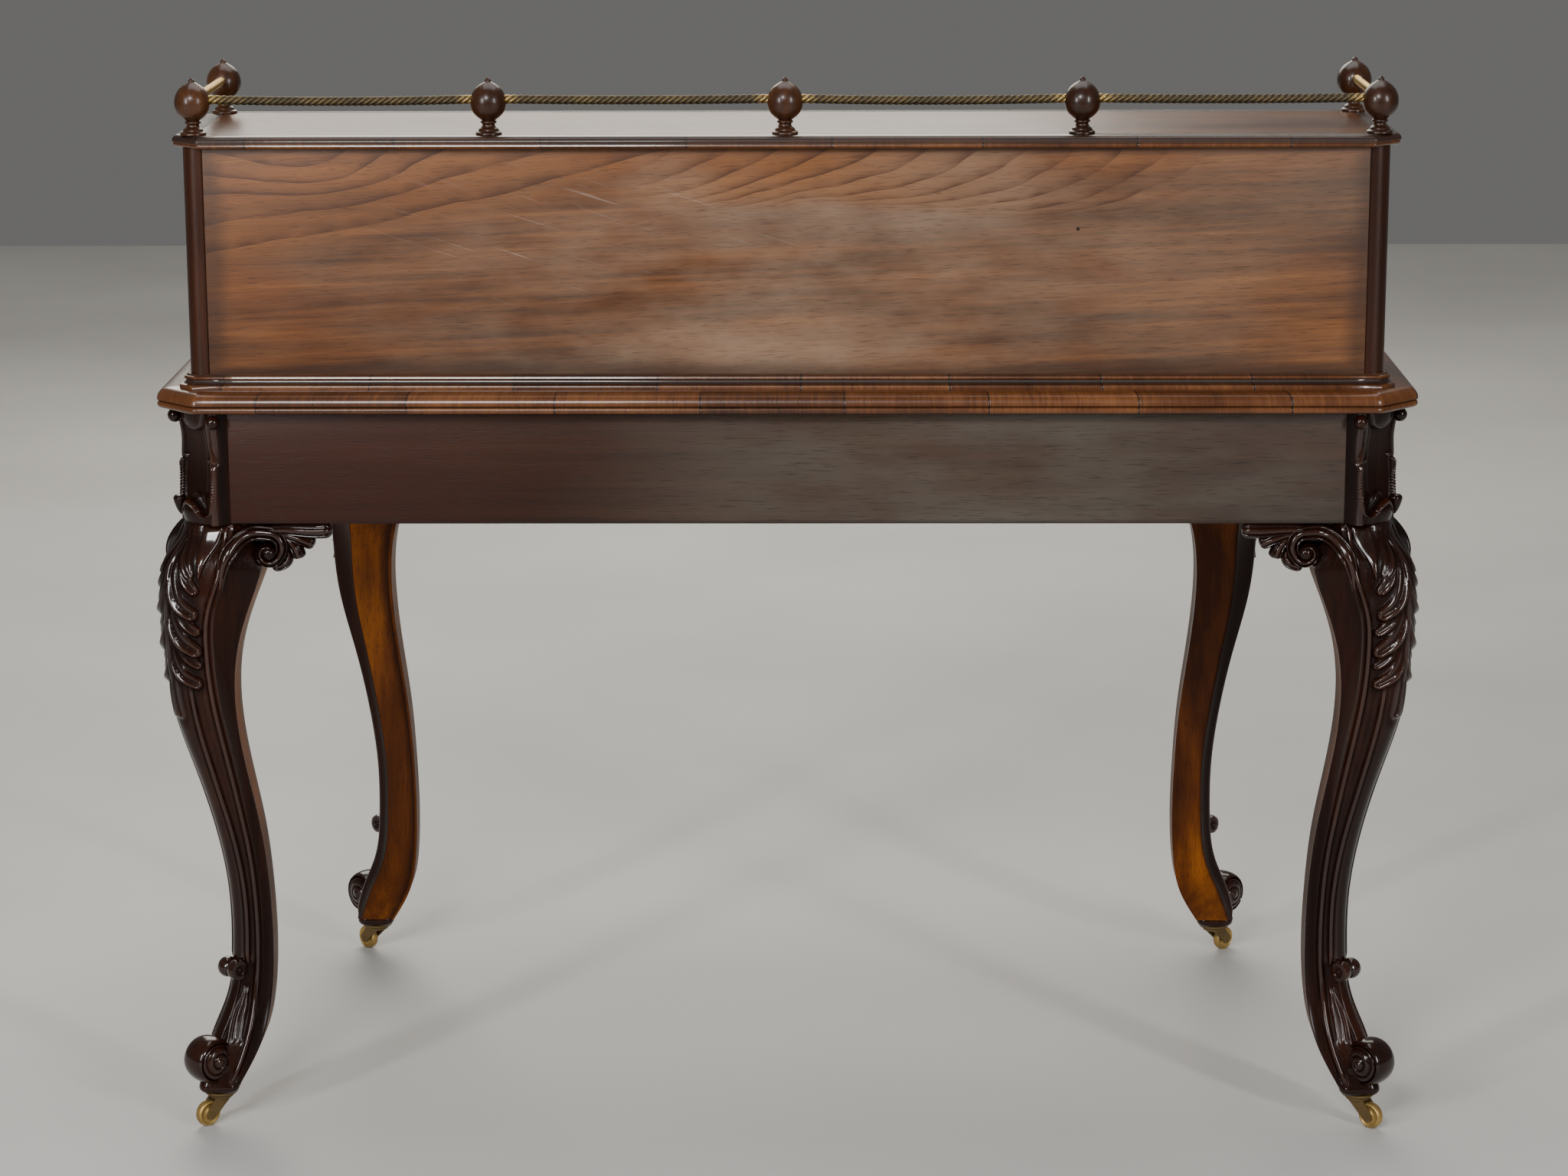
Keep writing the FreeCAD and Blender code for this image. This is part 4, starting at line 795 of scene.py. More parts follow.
def make_table_top():
    """The board shows as a band between the edge and the leather, with a flat underside."""
    outer, inner = table_ring(EDGE_BAND), leather_ring(0)
    rim = [(outer, TABLE_UNDER), (outer, TABLE_TOP - 0.02), (outer * 0.9995, TABLE_TOP)]
    board = np.array([at_level(ring, level) for ring, level in rim])
    under = np.stack([board[0], board[0] * (0, 0, 1)])
    loop = resampled(inner, outer)
    top = np.stack([board[-1], at_level(loop, TABLE_TOP), at_level(loop, LEATHER_LOW[2] - 0.1)])
    floor = poled(np.stack([top[-1], top[-1] * (0.2, 0.2, 1)]))[1:]
    parts = [grid(rows) for rows in (board, under, top, floor)]
    piece("table_board", parts, TOP_WALNUT, nodes=["table_top"], sharp=30)


def resampled(loop, like):
    """For each point of another loop, the point of this loop in the same direction from the middle."""
    middle = np.array([0.0, loop[:, 1].mean()])
    own = loop - middle
    angle = np.arctan2(own[:, 1], own[:, 0])
    order = np.argsort(angle)
    angle, radius = angle[order], np.linalg.norm(own[order], axis=1)
    wanted = np.arctan2(like[:, 1] - middle[1], like[:, 0] - middle[0])
    reach = np.interp(wanted, angle, radius, period=math.tau)
    return middle + reach[:, None] * np.stack([np.cos(wanted), np.sin(wanted)], -1)


LEATHER_INSETS = np.array([0, 1, 3, 6, 9, 11, 13, 16, 19, 22, 25, 27, 29, 34, 42, 55, 72, 95, 120, 150, 190])
LEATHER_WAVE, LEATHER_DIP = 0.12, 0.3  # height of the waves, and how far the rim is sunk


def make_leather():
    """Hide laid in the top: rings drawn in to a line along the middle, with a slightly sunk rim
    and shallow waves where it was glued down."""
    rings = [leather_ring(inset) for inset in LEATHER_INSETS[:-1]]
    core = rings[-1].copy()
    core[:, 1] = core[:, 1].mean()
    core[:, 0] *= 0.6
    rows = np.array(rings + [core])
    x, y = rows[..., 0], rows[..., 1]
    inset = LEATHER_INSETS[:, None]
    wave = LEATHER_WAVE * np.sin(x / 37) * np.sin(y / 29 + x / 90) * smooth_step(8, 40, inset)
    level = LEATHER_HIGH[2] + wave - LEATHER_DIP * bell(inset, 1.5)
    top = np.concatenate([rows, level[..., None]], 2)
    skirt = top[:1].copy()
    skirt[..., 2] = LEATHER_LOW[2]
    flat, faces, places, relief = grid(np.concatenate([skirt, top]))
    hide = (flat, faces, places[..., ::-1], relief)
    below = grid(poled(np.stack([skirt[0], skirt[0] * (0.5, 0.5, 1)]))[1:])
    piece("leather_top", [hide, below], LEATHER, nodes=["writing_leather"], sharp=60)


# Frieze

def make_back_rail():
    """The straight rail along the back."""
    piece("back_frieze", [rounded_box(RAIL_LOW, RAIL_HIGH, 0.6)], FRIEZE, nodes=["back_rail"])


def shoulder_line(radius, start, stop, count):
    """Points of the right shoulder between two angles below the X axis."""
    return arc((SHOULDER_X, SHOULDER_Y), radius, -start, -stop, count)


BLOCK_HALF = 27
DRAWER_GAP = 1.0
KNOB_SPREAD, FRIEZE_KNOB_SCALE = 150, 1.25
BAND_OUTER = SHOULDER_RADIUS - RAIL_SETBACK
BAND_INNER = BAND_OUTER - RAIL_THICKNESS
BLOCK_ANGLE = math.degrees(math.asin(BLOCK_HALF / BAND_INNER))


def make_side_rails():
    """Straight along the side, then round the shoulder to the front corner block."""
    stop = 45 - BLOCK_ANGLE
    lines = []
    for radius in (BAND_OUTER, BAND_INNER):
        x = SHOULDER_X + radius
        straight = np.linspace((x, RAIL_HIGH[1] - CANT), (x, SHOULDER_Y), 6)[:-1]
        lines.append(np.concatenate([straight, shoulder_line(radius, 0, stop, 24)]))
    for side, sign in SIDES:
        part = bent_board(*[line * (sign, 1) for line in lines], FRIEZE_UNDER, TABLE_UNDER)
        piece(f"{side}_frieze", [part], FRIEZE, nodes=[f"{side}_side_rail"])


BOW_OUTER = BOW_RADIUS - RAIL_SETBACK
BOW_INNER = BOW_OUTER - RAIL_THICKNESS


def on_bow(x, radius):
    """Points of the bow at places along X."""
    return np.stack([x, BOW_Y - np.sqrt(radius ** 2 - x ** 2)], -1)


def bow_lines(left, right, count):
    """Outer and inner line of the bowed rail between two places along X."""
    x = np.linspace(left, right, count)
    return [on_bow(x, radius) for radius in (BOW_OUTER, BOW_INNER)]


def make_front_rail():
    """The bowed front round the drawer's opening: two ends, a strip above and a strip below."""
    low, high = corners("frieze_drawer_front")
    half, low_z, high_z = high[0] + DRAWER_GAP, low[2] - DRAWER_GAP, high[2] + DRAWER_GAP
    joint = 90 - math.degrees(BOW_ANGLE)
    parts = []
    for _, sign in SIDES:
        lines = []
        for bow, band in ((BOW_OUTER, BAND_OUTER), (BOW_INNER, BAND_INNER)):
            reach = SHOULDER_X + band * math.sin(BOW_ANGLE)
            near = on_bow(np.linspace(half, reach, 8)[:-1], bow)
            far = shoulder_line(band, joint, 45 + BLOCK_ANGLE, 16)
            lines.append(np.concatenate([near, far]) * (sign, 1))
        parts.append(bent_board(*lines, FRIEZE_UNDER, TABLE_UNDER))
    for bottom, top in ((FRIEZE_UNDER, low_z), (high_z, TABLE_UNDER)):
        parts.append(bent_board(*bow_lines(-half, half, 40), bottom, top, 0.5))
    piece("front_frieze", parts, FRIEZE, nodes=["front_rail"])


def make_frieze_drawer():
    """Bowed drawer front with a fine bead round its edge, and two knobs."""
    low, high = corners("frieze_drawer_front")
    parts = [bent_board(*bow_lines(low[0], high[0], 48), low[2], high[2], 0.5)]
    inset, radius = 3.0, 1.6
    levels = low[2] + inset, high[2] - inset
    line = bow_lines(low[0] + inset, high[0] - inset, 48)[0]
    parts += [bead_bar(at_level(line, z), radius) for z in levels]
    for x in (low[0] + inset, high[0] - inset):
        ends = [(*on_bow(x, BOW_OUTER), z) for z in levels]
        parts.append(bead_bar(np.linspace(*ends, 6), radius))
    piece("bowed_drawer_front", parts, FRIEZE, "frieze_drawer", ["frieze_drawer_front"])
    knob_low, knob_high = corners("frieze_drawer_knobs")
    middle = (knob_low[2] + knob_high[2]) / 2
    knobs = []
    for x in (-KNOB_SPREAD, KNOB_SPREAD):
        lean = math.degrees(math.asin(x / BOW_OUTER))
        knobs.append(knob((*on_bow(x, BOW_OUTER), middle), FRIEZE_KNOB_SCALE, lean))
    piece("frieze_knobs", knobs, KNOB_BRASS, "frieze_drawer", ["frieze_drawer_knobs"], sharp=50)


KNOB_PROFILE = [(0, -1.5), (5, -1.5), (7, 0), (7, 1.2), (6.2, 1.9), (4.6, 2.6), (4.2, 5), (4.6, 7.4),
                (7.6, 10), (9.3, 12.6), (9.2, 14.8), (7, 17.2), (3.4, 18.2), (0, 18.5)]


def knob(spot, scale, lean=0.0):
    """A turned knob laid over to stand out along -Y."""
    flat, *rest = turned(softened(KNOB_PROFILE) * scale, around=32)
    laid = flat[:, [0, 2, 1]] * (1, -1, 1)
    return moved((laid, *rest), lean, spot)


# Upper case

STILE_ROUND = 14
TOP_CANT, TOP_CORNER, TOP_SEAM = 27, 6.0, -12

# The case top's edge from below: how far in from its reach, and the rise over its underside
TOP_EDGE = [(5, 0), (3.2, 0.4), (1.6, 1.4), (0.9, 2.8), (1.3, 4.2), (0.4, 4.8), (0, 6.4), (0.3, 8.2),
            (1.6, 10), (3.8, 11.4)]
TOP_DARK = (4, 5.5)  # rises between which its polish turns dark

# The base moulding from below: shares of its reach and of its height, and how much polish it holds
BASE_EDGE = [(1, 0, 0), (1, 0.22, 0), (0.94, 0.29, 0.1), (0.72, 0.31, 0.5), (0.52, 0.38, 0.9), (0.4, 0.5, 1),
             (0.36, 0.62, 0.9), (0.5, 0.66, 0.3), (0.56, 0.75, 0), (0.5, 0.86, 0.1), (0.3, 0.9, 0.7),
             (0.2, 1, 0.6)]
BASE_SUNK = 2.0


def case_ring(out, cant):
    """The case's plan with four canted corners, moved outwards."""
    half, back, front = CASE_X + out, CASE_BACK + out, CASE_FRONT - out
    flat = [(half, front + cant), (half, back - cant), (half - cant, back), (cant - half, back),
            (-half, back - cant), (-half, front + cant), (cant - half, front), (half - cant, front)]
    loop = flat[-1:] + flat + flat[:1]
    return np.concatenate([fillet(*three, TOP_CORNER, 5) for three in zip(loop, loop[1:], loop[2:])])


def make_case_top():
    """The top board and the moulding round it: a small ovolo, dark with polish, over a lighter bead."""
    low, high = CASE_TOP_LOW[2], CASE_TOP_HIGH[2]
    reach = CASE_TOP_HIGH[0] - CASE_X
    profile = np.array([
        (TOP_SEAM, low), *[(reach - inset, low + rise) for inset, rise in TOP_EDGE],
        (reach - 6.5, high), (TOP_SEAM, high), (TOP_SEAM, (low + high) / 2)])
    rings = [case_ring(out, TOP_CANT + (out - reach) * CANT_SHARE) for out in profile[:, 0]]
    moulding = ring_sweep(rings, profile[:, 1])
    dark = smooth_step(*TOP_DARK, profile[:, 1] - low)
    relief = np.tile(0.5 - 0.34 * dark, len(rings[0]))
    piece("case_top_edge", [(*moulding[:3], relief)], CROSSGRAIN, sharp=40)
    under, over = (at_level(rings[0], level) for level in (low, high))
    middle = np.array([0, (CASE_BACK + CASE_FRONT) / 2, 0])
    board = [under * (0.3, 0, 1) + middle, under, over, over * (0.3, 0, 1) + middle]
    piece("case_top", [grid(np.array(board))], TOP_WALNUT, nodes=["upper_top"], sharp=40)


def base_line(out):
    """Three sides of the case from the front right to the front left corner, moved outwards."""
    cant = (STILE_ROUND + out) * CANT_SHARE
    half, back = CASE_X + out, CASE_BACK + out
    cheek = np.array([half - cant, back])
    side = np.linspace((half, CASE_FRONT), (half, back - cant), 6)
    return np.concatenate([side, np.linspace(cheek, cheek * FLIP, 30), side[::-1] * FLIP])


def make_base_moulding():
    """Fillet, hollow and small bead at the foot of the case, carried round three sides."""
    tall = BASE_TOP - TABLE_TOP
    profile = [(-BASE_SUNK, 0, 0), *[(out * BASE_REACH, up * tall, hollow) for out, up, hollow in BASE_EDGE],
               (-BASE_SUNK, tall, 0)]
    rows = np.array([at_level(base_line(out), TABLE_TOP + rise) for out, rise, _ in profile])
    rows = rows.transpose(1, 0, 2)
    hollow = np.array(profile)[:, 2]
    part = capped(rows, np.tile(0.5 - 0.42 * hollow, (len(rows), 1)))
    nodes = [f"{side}_base_moulding" for side in ("back", "left", "right")]
    piece("base_moulding", [part], CROSSGRAIN, nodes=nodes, sharp=45)


def make_case_walls():
    """Back panel, rounded stiles with a fine quirk beside the panel, and the two ends."""
    piece("back_panel", [rounded_box(*corners("upper_back_panel"), 0.5)], PANEL, nodes=["upper_back_panel"])
    for side, sign in SIDES:
        low, high = corners(f"upper_{side}_stile")
        inner, outer = (low[0], high[0]) if sign > 0 else (high[0], low[0])
        soft = STILE_ROUND * sign
        curve = arc((0, 0), 1, 0, 90, 10) * (soft, STILE_ROUND) + (outer - soft, high[1] - STILE_ROUND)
        quirk = [(inner + 1.2 * sign, high[1]), (inner + 0.3 * sign, high[1] - 0.9)]
        plan = np.concatenate([[(outer, low[1])], curve, quirk, [(inner + 0.3 * sign, low[1])]])
        rows = [at_level(plan, z) for z in np.linspace(low[2], high[2], 4)]
        piece(f"{side}_stile", [capped(rows)], STILE, nodes=[f"upper_{side}_stile"])
        piece(f"{side}_end", [rounded_box(*corners(f"upper_{side}_end"), 0.6)], INNER_WALNUT,
              nodes=[f"upper_{side}_end"])


BOARD_SHORT = 7  # how far the floor and the shelf stop short of the back
WALL_THICKNESS = 8.0
INNER_WALLS = [("pigeonhole_dividers", "pigeonhole_walls", 5), ("drawer_partitions", "drawer_walls", 2)]


def make_case_inside():
    """Floor, shelf, dividers and partitions as boards, and the small drawers."""
    for node, name in (("upper_floor", "case_floor"), ("upper_shelf", "case_shelf")):
        low, high = corners(node)
        piece(name, [rounded_box(low, high - (0, BOARD_SHORT, 0), 0.6)], INNER_WALNUT, nodes=[node])
    for node, name, count in INNER_WALLS:
        low, high = corners(node)
        starts = np.linspace(low[0], high[0] - WALL_THICKNESS, count)
        boards = [rounded_box((x, *low[1:]), (x + WALL_THICKNESS, *high[1:]), 0.6) for x in starts]
        piece(name, boards, INNER_WALNUT, nodes=[node])
    for side in SMALL_DRAWERS:
        make_small_drawer(side)


def make_small_drawer(side):
    """Drawer front with a fine bead round it and a turned knob."""
    node = f"{side}_small_drawer"
    low, high = corners(f"{node}_front")
    inset, radius, y = 2.4, 1.3, low[1] + 0.2
    spots = [(low[0] + inset, low[2] + inset), (high[0] - inset, low[2] + inset),
             (high[0] - inset, high[2] - inset), (low[0] + inset, high[2] - inset)]
    parts = [rounded_box(low, high, 0.5)]
    for first, last in zip(spots, spots[1:] + spots[:1]):
        parts.append(bead_bar(np.linspace((first[0], y, first[1]), (last[0], y, last[1]), 6), radius))
    piece(f"{node}_facing", parts, INNER_WALNUT, node, [f"{node}_front"])
    spot = ((low[0] + high[0]) / 2, low[1], (low[2] + high[2]) / 2)
    piece(f"{node}_pull", [knob(spot, 1.0)], KNOB_BRASS, node, [f"{node}_knob"], sharp=50)


# Gallery

# A finial's radius and rise: stepped foot with a ringed neck, egg, pointed tip
FINIAL_FOOT = [(0, 0), (12.4, 0), (12.5, 1.2), (12.3, 2.4), (10.6, 3), (9.6, 4), (9.3, 5.6), (7.6, 6.6),
               (6.4, 7.8), (5.9, 9.4), (6.3, 10.6), (7.6, 11.2), (7.8, 12.2), (7.2, 13)]
FINIAL_EGG = [(6.2, 13.6), (9.9, 16.2), (14.5, 21), (16.9, 28), (16.4, 36), (12.2, 43.8), (6.2, 48.4),
              (3, 50.2)]
FINIAL_TIP = [(2.9, 50.6), (3, 51.6), (2.2, 52.4), (1.2, 53.6), (0, 54.5)]
ROD_RADIUS, ROD_PITCH, ROD_STRANDS = 4.4, 25.0, 4
ROD_RISE = 33.5  # of the rods' axis over the finials' feet
ROD_STEP = 0.75  # distance between two sections of a rod
ROD_SUNK = 1.5  # how far a rod goes into a finial
BACK_SAGS, SIDE_SAG = (1.0, 1.8, 1.0, 1.8), 0.4


def through(points, count):
    """The curve through points, so many places along it."""
    return spline(range(len(points)), points, np.linspace(0, len(points) - 1, count))


def rope(start, stop, sag):
    """A twisted rod: four round strands wind about a line that hangs slightly between its ends.
    The radius falls to three quarters where two strands meet."""
    start, stop = np.asarray(start, float), np.asarray(stop, float)
    length = np.linalg.norm(stop - start)
    share = np.linspace(0, 1, int(length / ROD_STEP))[:, None]
    angle = np.linspace(0, math.tau, 36, endpoint=False)[None]
    lobe = np.abs(np.cos(ROD_STRANDS / 2 * (angle - math.tau * share * length / ROD_PITCH))) ** 1.2
    reach = ROD_RADIUS * (0.75 + 0.25 * lobe)
    way = (stop - start) / length
    side, up = np.array([way[1], -way[0], 0]), np.array([0, 0, 1])
    line = start + (stop - start) * share - up * sag * 4 * share * (1 - share)
    ring = side * np.cos(angle)[..., None] + up * np.sin(angle)[..., None]
    return capped(line[:, None] + reach[..., None] * ring, 0.9 * lobe)


def make_gallery():
    """Seven finials on the case top, joined by twisted brass rods along the back and the sides."""
    low, high = corners("gallery_finials")
    half, back, front = high[0] - FINIAL_RADIUS, high[1] - FINIAL_RADIUS, low[1] + FINIAL_RADIUS
    stations = half * np.linspace(-1, 1, 5)
    spots = [(x, back) for x in stations] + [(-half, front), (half, front)]
    profile = np.concatenate([softened(FINIAL_FOOT, 1), through(FINIAL_EGG, 44), softened(FINIAL_TIP, 1)])
    finials = [turned(profile, (*spot, low[2])) for spot in spots]
    piece("finials", finials, TURNED, nodes=["gallery_finials"], sharp=45)
    axis, shy = low[2] + ROD_RISE, FINIAL_RADIUS - ROD_SUNK
    rods = [rope((first + shy, back, axis), (last - shy, back, axis), sag)
            for first, last, sag in zip(stations, stations[1:], BACK_SAGS)]
    piece("back_rods", rods, GALLERY_BRASS, nodes=["gallery_back_rails"], sharp=70)
    sides = [rope((x, front + shy, axis), (x, back - shy, axis), SIDE_SAG) for x in (-half, half)]
    piece("side_rods", sides, GALLERY_BRASS, nodes=["gallery_side_rails"], sharp=70)


# Legs

# Level, inner and outer face from the foot's middle, then what the canted field takes off an outer
# and an inner face
LEG_CURVE = np.array([
    (44, -21.5, 20, 4, 4), (88, -44, 8, 10, 8), (120, -51, -5, 11, 8.5), (175, -54.5, -13, 10, 8.5),
    (235, -53, -12.5, 9.5, 9), (297, -48, -4, 9.5, 9.5), (363, -38, 11.5, 11, 12), (430, -30.5, 29, 16.5, 17),
    (495, -35, 35.5, 27, 21), (540, -49, 38, 37, 22), (574, -60, 36, 37, 23), (600, -61, 27, 34, 24),
    (619, -59, 15, 30, 24)])
LEG_FOOT, LEG_HEAD = LEG_CURVE[[0, -1], 0]
LEG_MIDDLE = 425  # below this level the sections stand further apart
OUTER_ROUND = 0.34  # radius of the outer arris as a share of the leg's width
FIELD_LESS = 6.0  # what the field takes less off an outer face on the knee
NECK_LEVEL, NECK_TALL, NECK_DEPTH = 602, 14, 4.0  # where the outer faces draw in under the block
COVE_DEPTH = 1.2  # how far the canted fields are hollowed
INNER_FACE = 2.0  # relief that marks the plain inner faces
POST_HALF, POST_SETBACK = 24.8, 43.4 / ROOT_TWO

# Lobes of the knee leaf: points of the axis as distance from the arris and level, half width, rise
KNEE_LOBES = [
    ([(3, 615), (9, 600), (15, 585), (22, 573)], 6.6, 4.2),
    ([(-2, 600), (3, 572), (11, 547), (25, 533)], 9.0, 6.4),
    ([(12, 580), (19, 568), (28, 557)], 6.6, 5.0),
    ([(-2, 552), (4, 528), (13, 508), (26, 496)], 9.4, 6.8),
    ([(13, 532), (20, 523), (29, 516)], 6.4, 5.4),
    ([(-1, 516), (3, 492), (11, 473), (25, 463)], 7.6, 6.0),
    ([(12, 498), (19, 489), (28, 482)], 5.8, 4.6),
    ([(0, 490), (1, 464), (3, 432)], 8.0, 4.6),
]


def nearest(t, z, points):
    """For each place, the distance to a line through points, positive on its far side from the
    arris, and how far along the line the nearest point is, from 0 to 1."""
    share = np.linspace(0, 1, 40)
    line = spline(np.linspace(0, 1, len(points)), points, share)
    ahead = headings(line)
    gap = np.stack([t, z], -1)[..., None, :] - line
    far = np.hypot(gap[..., 0], gap[..., 1])
    best = far.argmin(-1)
    pick = np.take_along_axis(gap, best[..., None, None], -2)[..., 0, :]
    side = pick[..., 1] * ahead[best, 0] - pick[..., 0] * ahead[best, 1]
    return np.where(side < 0, -1, 1) * far.min(-1), share[best]


def leaf_lobe_height(t, z, points, wide, rise):
    """A lobe on the knee: a ridge along its outer edge, a hollow beside it and a fold on the inner
    edge. It swells and lifts from root to tip, and all its edges are round."""
    off, share = nearest(t, z, points)
    half = wide * (0.62 + 0.45 * np.sin(share * 2.5))
    u = np.clip(off / half, -1, 1)
    across = 0.42 + 0.62 * bell(u + 0.42, 0.34) + 0.36 * bell(u - 0.6, 0.26)
    lift = rise * (0.42 + 0.58 * smooth_step(0, 0.9, share))
    return lift * across * dome(u, 1)


def leaf_relief(t, z):
    """Height of the whole knee leaf: the highest of its lobes and of the rib along the arris."""
    rib = 1.3 * dome(t, 3.4) * smooth_step(446, 480, z) * smooth_step(616, 596, z)
    return np.max([rib] + [leaf_lobe_height(t, z, *lobe) for lobe in KNEE_LOBES], 0)


def bead_height(off, radius):
    """A round bead between two fine grooves, at an offset from its middle."""
    grooves = bell(off - radius - 0.8, 0.8), bell(off + radius + 0.8, 0.8)
    return 0.95 * dome(off, radius) - 0.8 * grooves[0] - 0.8 * grooves[1]


def leg_relief(t, z, reach):
    """Carving on an outer face at a distance t from the arris, out to where the canted field starts:
    a fillet, a bead, a hollow band, a second bead, a cushion and leaf on the knee, and on the ankle
    a strap along the arris beside a sunk panel with a fluted leaf."""
    from_edge = reach - t
    bead_at = 4.6 + 2.2 * smooth_step(240, 430, z)
    bead = bead_height(from_edge - bead_at, 2.5) + 0.6 * bell(from_edge, 1.1)
    second_at = 13.5 + 5.0 * smooth_step(330, 440, z)
    second = smooth_step(478, 440, z) * smooth_step(158, 172, z) * bead_height(t - second_at, 2.3)
    middle = (second_at + reach - bead_at) / 2
    room = np.maximum(reach - bead_at - second_at, 2)
    band = -1.3 * bell((t - middle) / room, 0.33) * smooth_step(84, 170, z)
    cushion_at = 27 + 5 * smooth_step(617, 572, z)
    cushion_half = 0.5 + 9.5 * smooth_step(560, 612, z)
    cushion = 3.6 * dome((t - cushion_at) / cushion_half, 1) * smooth_step(560, 576, z)
    ankle = smooth_step(168, 156, z) * smooth_step(82, 92, z)
    sunk = smooth_step(6.4, 8.2, t) * smooth_step(7.6, 9.6, from_edge)
    off, share = nearest(t, z, [(15, 140), (14, 122), (15, 106), (20, 88)])
    spread = np.clip(off / (2.5 + 6.0 * smooth_step(0, 0.5, share)), -1, 1)
    flutes = 1 + 0.3 * np.cos(spread * 9.0)
    leaflet = 2.3 * flutes * dome(spread, 1) * smooth_step(0.0, 0.15, share)
    panel = ankle * sunk * (leaflet - 2.6)
    leaf = leaf_relief(t, z) * (0.65 + 0.35 * smooth_step(612, 584, z))
    ground = bead + second + band + cushion + panel
    carving = np.maximum(ground, np.where(leaf > 0.05, leaf - 0.3, -9))
    return carving * smooth_step(LEG_HEAD, LEG_HEAD - 8, z) * smooth_step(LEG_FOOT, LEG_FOOT + 14, z)


def blurred(table, reach):
    """The average over a window that reaches so many points each way along both ways of a grid."""
    for axis in (0, 1):
        pads = [(reach, reach) if way == axis else (0, 0) for way in (0, 1)]
        padded = np.pad(table, pads, "edge")
        table = np.lib.stride_tricks.sliding_window_view(padded, 2 * reach + 1, axis).mean(-1)
    return table


def mirrored(p, q, z):
    """Rows of points followed by their mirror image about the diagonal, in the opposite order."""
    level = z + 0 * p
    return np.concatenate([np.stack([p, q, level], -1), np.stack([q, p, level], -1)[:, -2::-1]], 1)


def rolled(radius, spread, angle, place, relief):
    """A piece turned about the line across the diagonal, through a place of reach and level."""
    points = np.stack([place[0] + radius * np.cos(angle), spread, place[1] + radius * np.sin(angle)], -1)
    return grid(points, relief=relief)


def leg_shaft():
    """The leg as sections across its height: a square whose outer arris is broadly rounded and whose
    side arrises are canted, pushed out along its own normals by the carving on the two outer faces.
    Points lie in the frame of the outer faces' normals, with the foot's middle at the origin. The
    relief of plain inner faces is marked by a number of its own."""
    z = np.concatenate([np.linspace(LEG_FOOT, LEG_MIDDLE, 190), np.linspace(LEG_MIDDLE, LEG_HEAD, 230)[1:]])
    inner, outer, off_outer, off_inner = spline(LEG_CURVE[:, 0], LEG_CURVE[:, 1:], z).T[..., None]
    z = z[:, None]
    off_outer = off_outer - FIELD_LESS * smooth_step(300, 430, z)
    outer = outer - NECK_DEPTH * bell(z - NECK_LEVEL, NECK_TALL) * smooth_step(LEG_HEAD, LEG_HEAD - 7, z)
    broad = OUTER_ROUND * (outer - inner)
    turn = broad * math.pi / 4
    reach = outer - inner - broad - off_outer + turn
    t = reach * np.linspace(1, 0, 76)[None]
    angle = np.clip(math.pi / 4 - t / broad, 0, None)
    height = leg_relief(t, z + 0 * t, reach + 0 * t)
    face_p = np.where(angle > 0, outer - broad + broad * np.sin(angle), outer - broad + turn - t)
    face_q = np.where(angle > 0, outer - broad + broad * np.cos(angle), outer)
    face_p, face_q = face_p + np.sin(angle) * height, face_q + np.cos(angle) * height
    share = np.array([0, 0.04, 0.1, 0.2, 0.35, 0.5, 0.65, 0.8, 0.9, 0.96])[None]
    slope = np.hypot(off_outer, off_inner)
    cove = -COVE_DEPTH * np.sin(share * math.pi) ** 0.6 * smooth_step(LEG_FOOT, 90, z)
    field_p = inner + off_outer * share - cove * off_inner / slope
    field_q = outer - off_inner * (1 - share) + cove * off_outer / slope
    p, q = np.concatenate([field_p, face_p], 1), np.concatenate([field_q, face_q], 1)
    span = np.array([0.03, 0.1, 0.3, 0.5, 0.7, 0.9, 1])[None]
    deep = outer - off_inner + (inner - outer + off_inner) * span
    points = np.concatenate([mirrored(p, q, z), mirrored(deep, inner + 0 * deep, z)], 1)
    tone = np.clip(0.5 + 0.16 * (height - blurred(height, 7)) + 0.02 * height, 0, 1)
    tone = np.concatenate([0.36 + 0 * field_p, tone], 1)
    plain = INNER_FACE - 0.7 * smooth_step(0.2, 0, span) + 0 * deep
    tone = np.concatenate([tone, tone[:, -2::-1], plain, plain[:, :-1]], 1)
    return capped(points, tone)


TOE_PLACE = (13.0, 69)
TOE_RADIUS, TOE_RIM, TOE_HALF = 24.0, 18.6, 15.0
TOE_PITCH, TOE_EYE = 7.0, 5.2
CURL_PLACE = (-19.5, 157)
CURL_HALF, CURL_RIM, CURL_RADIUS, CURL_WAIST = 13.0, 7.5, 10.5, 7.6
CURL_END = np.array([(0, 0.8), (2.2, 0.6), (3.0, -0.6), (4.4, -0.6), (5.2, 0.2), (CURL_RIM - 0.8, 0)])
PLINTH = [(0, 15), (2, 18.5), (6, 20.6), (11, 19.4), (16, 16.8), (24, 17), (30, 18)]


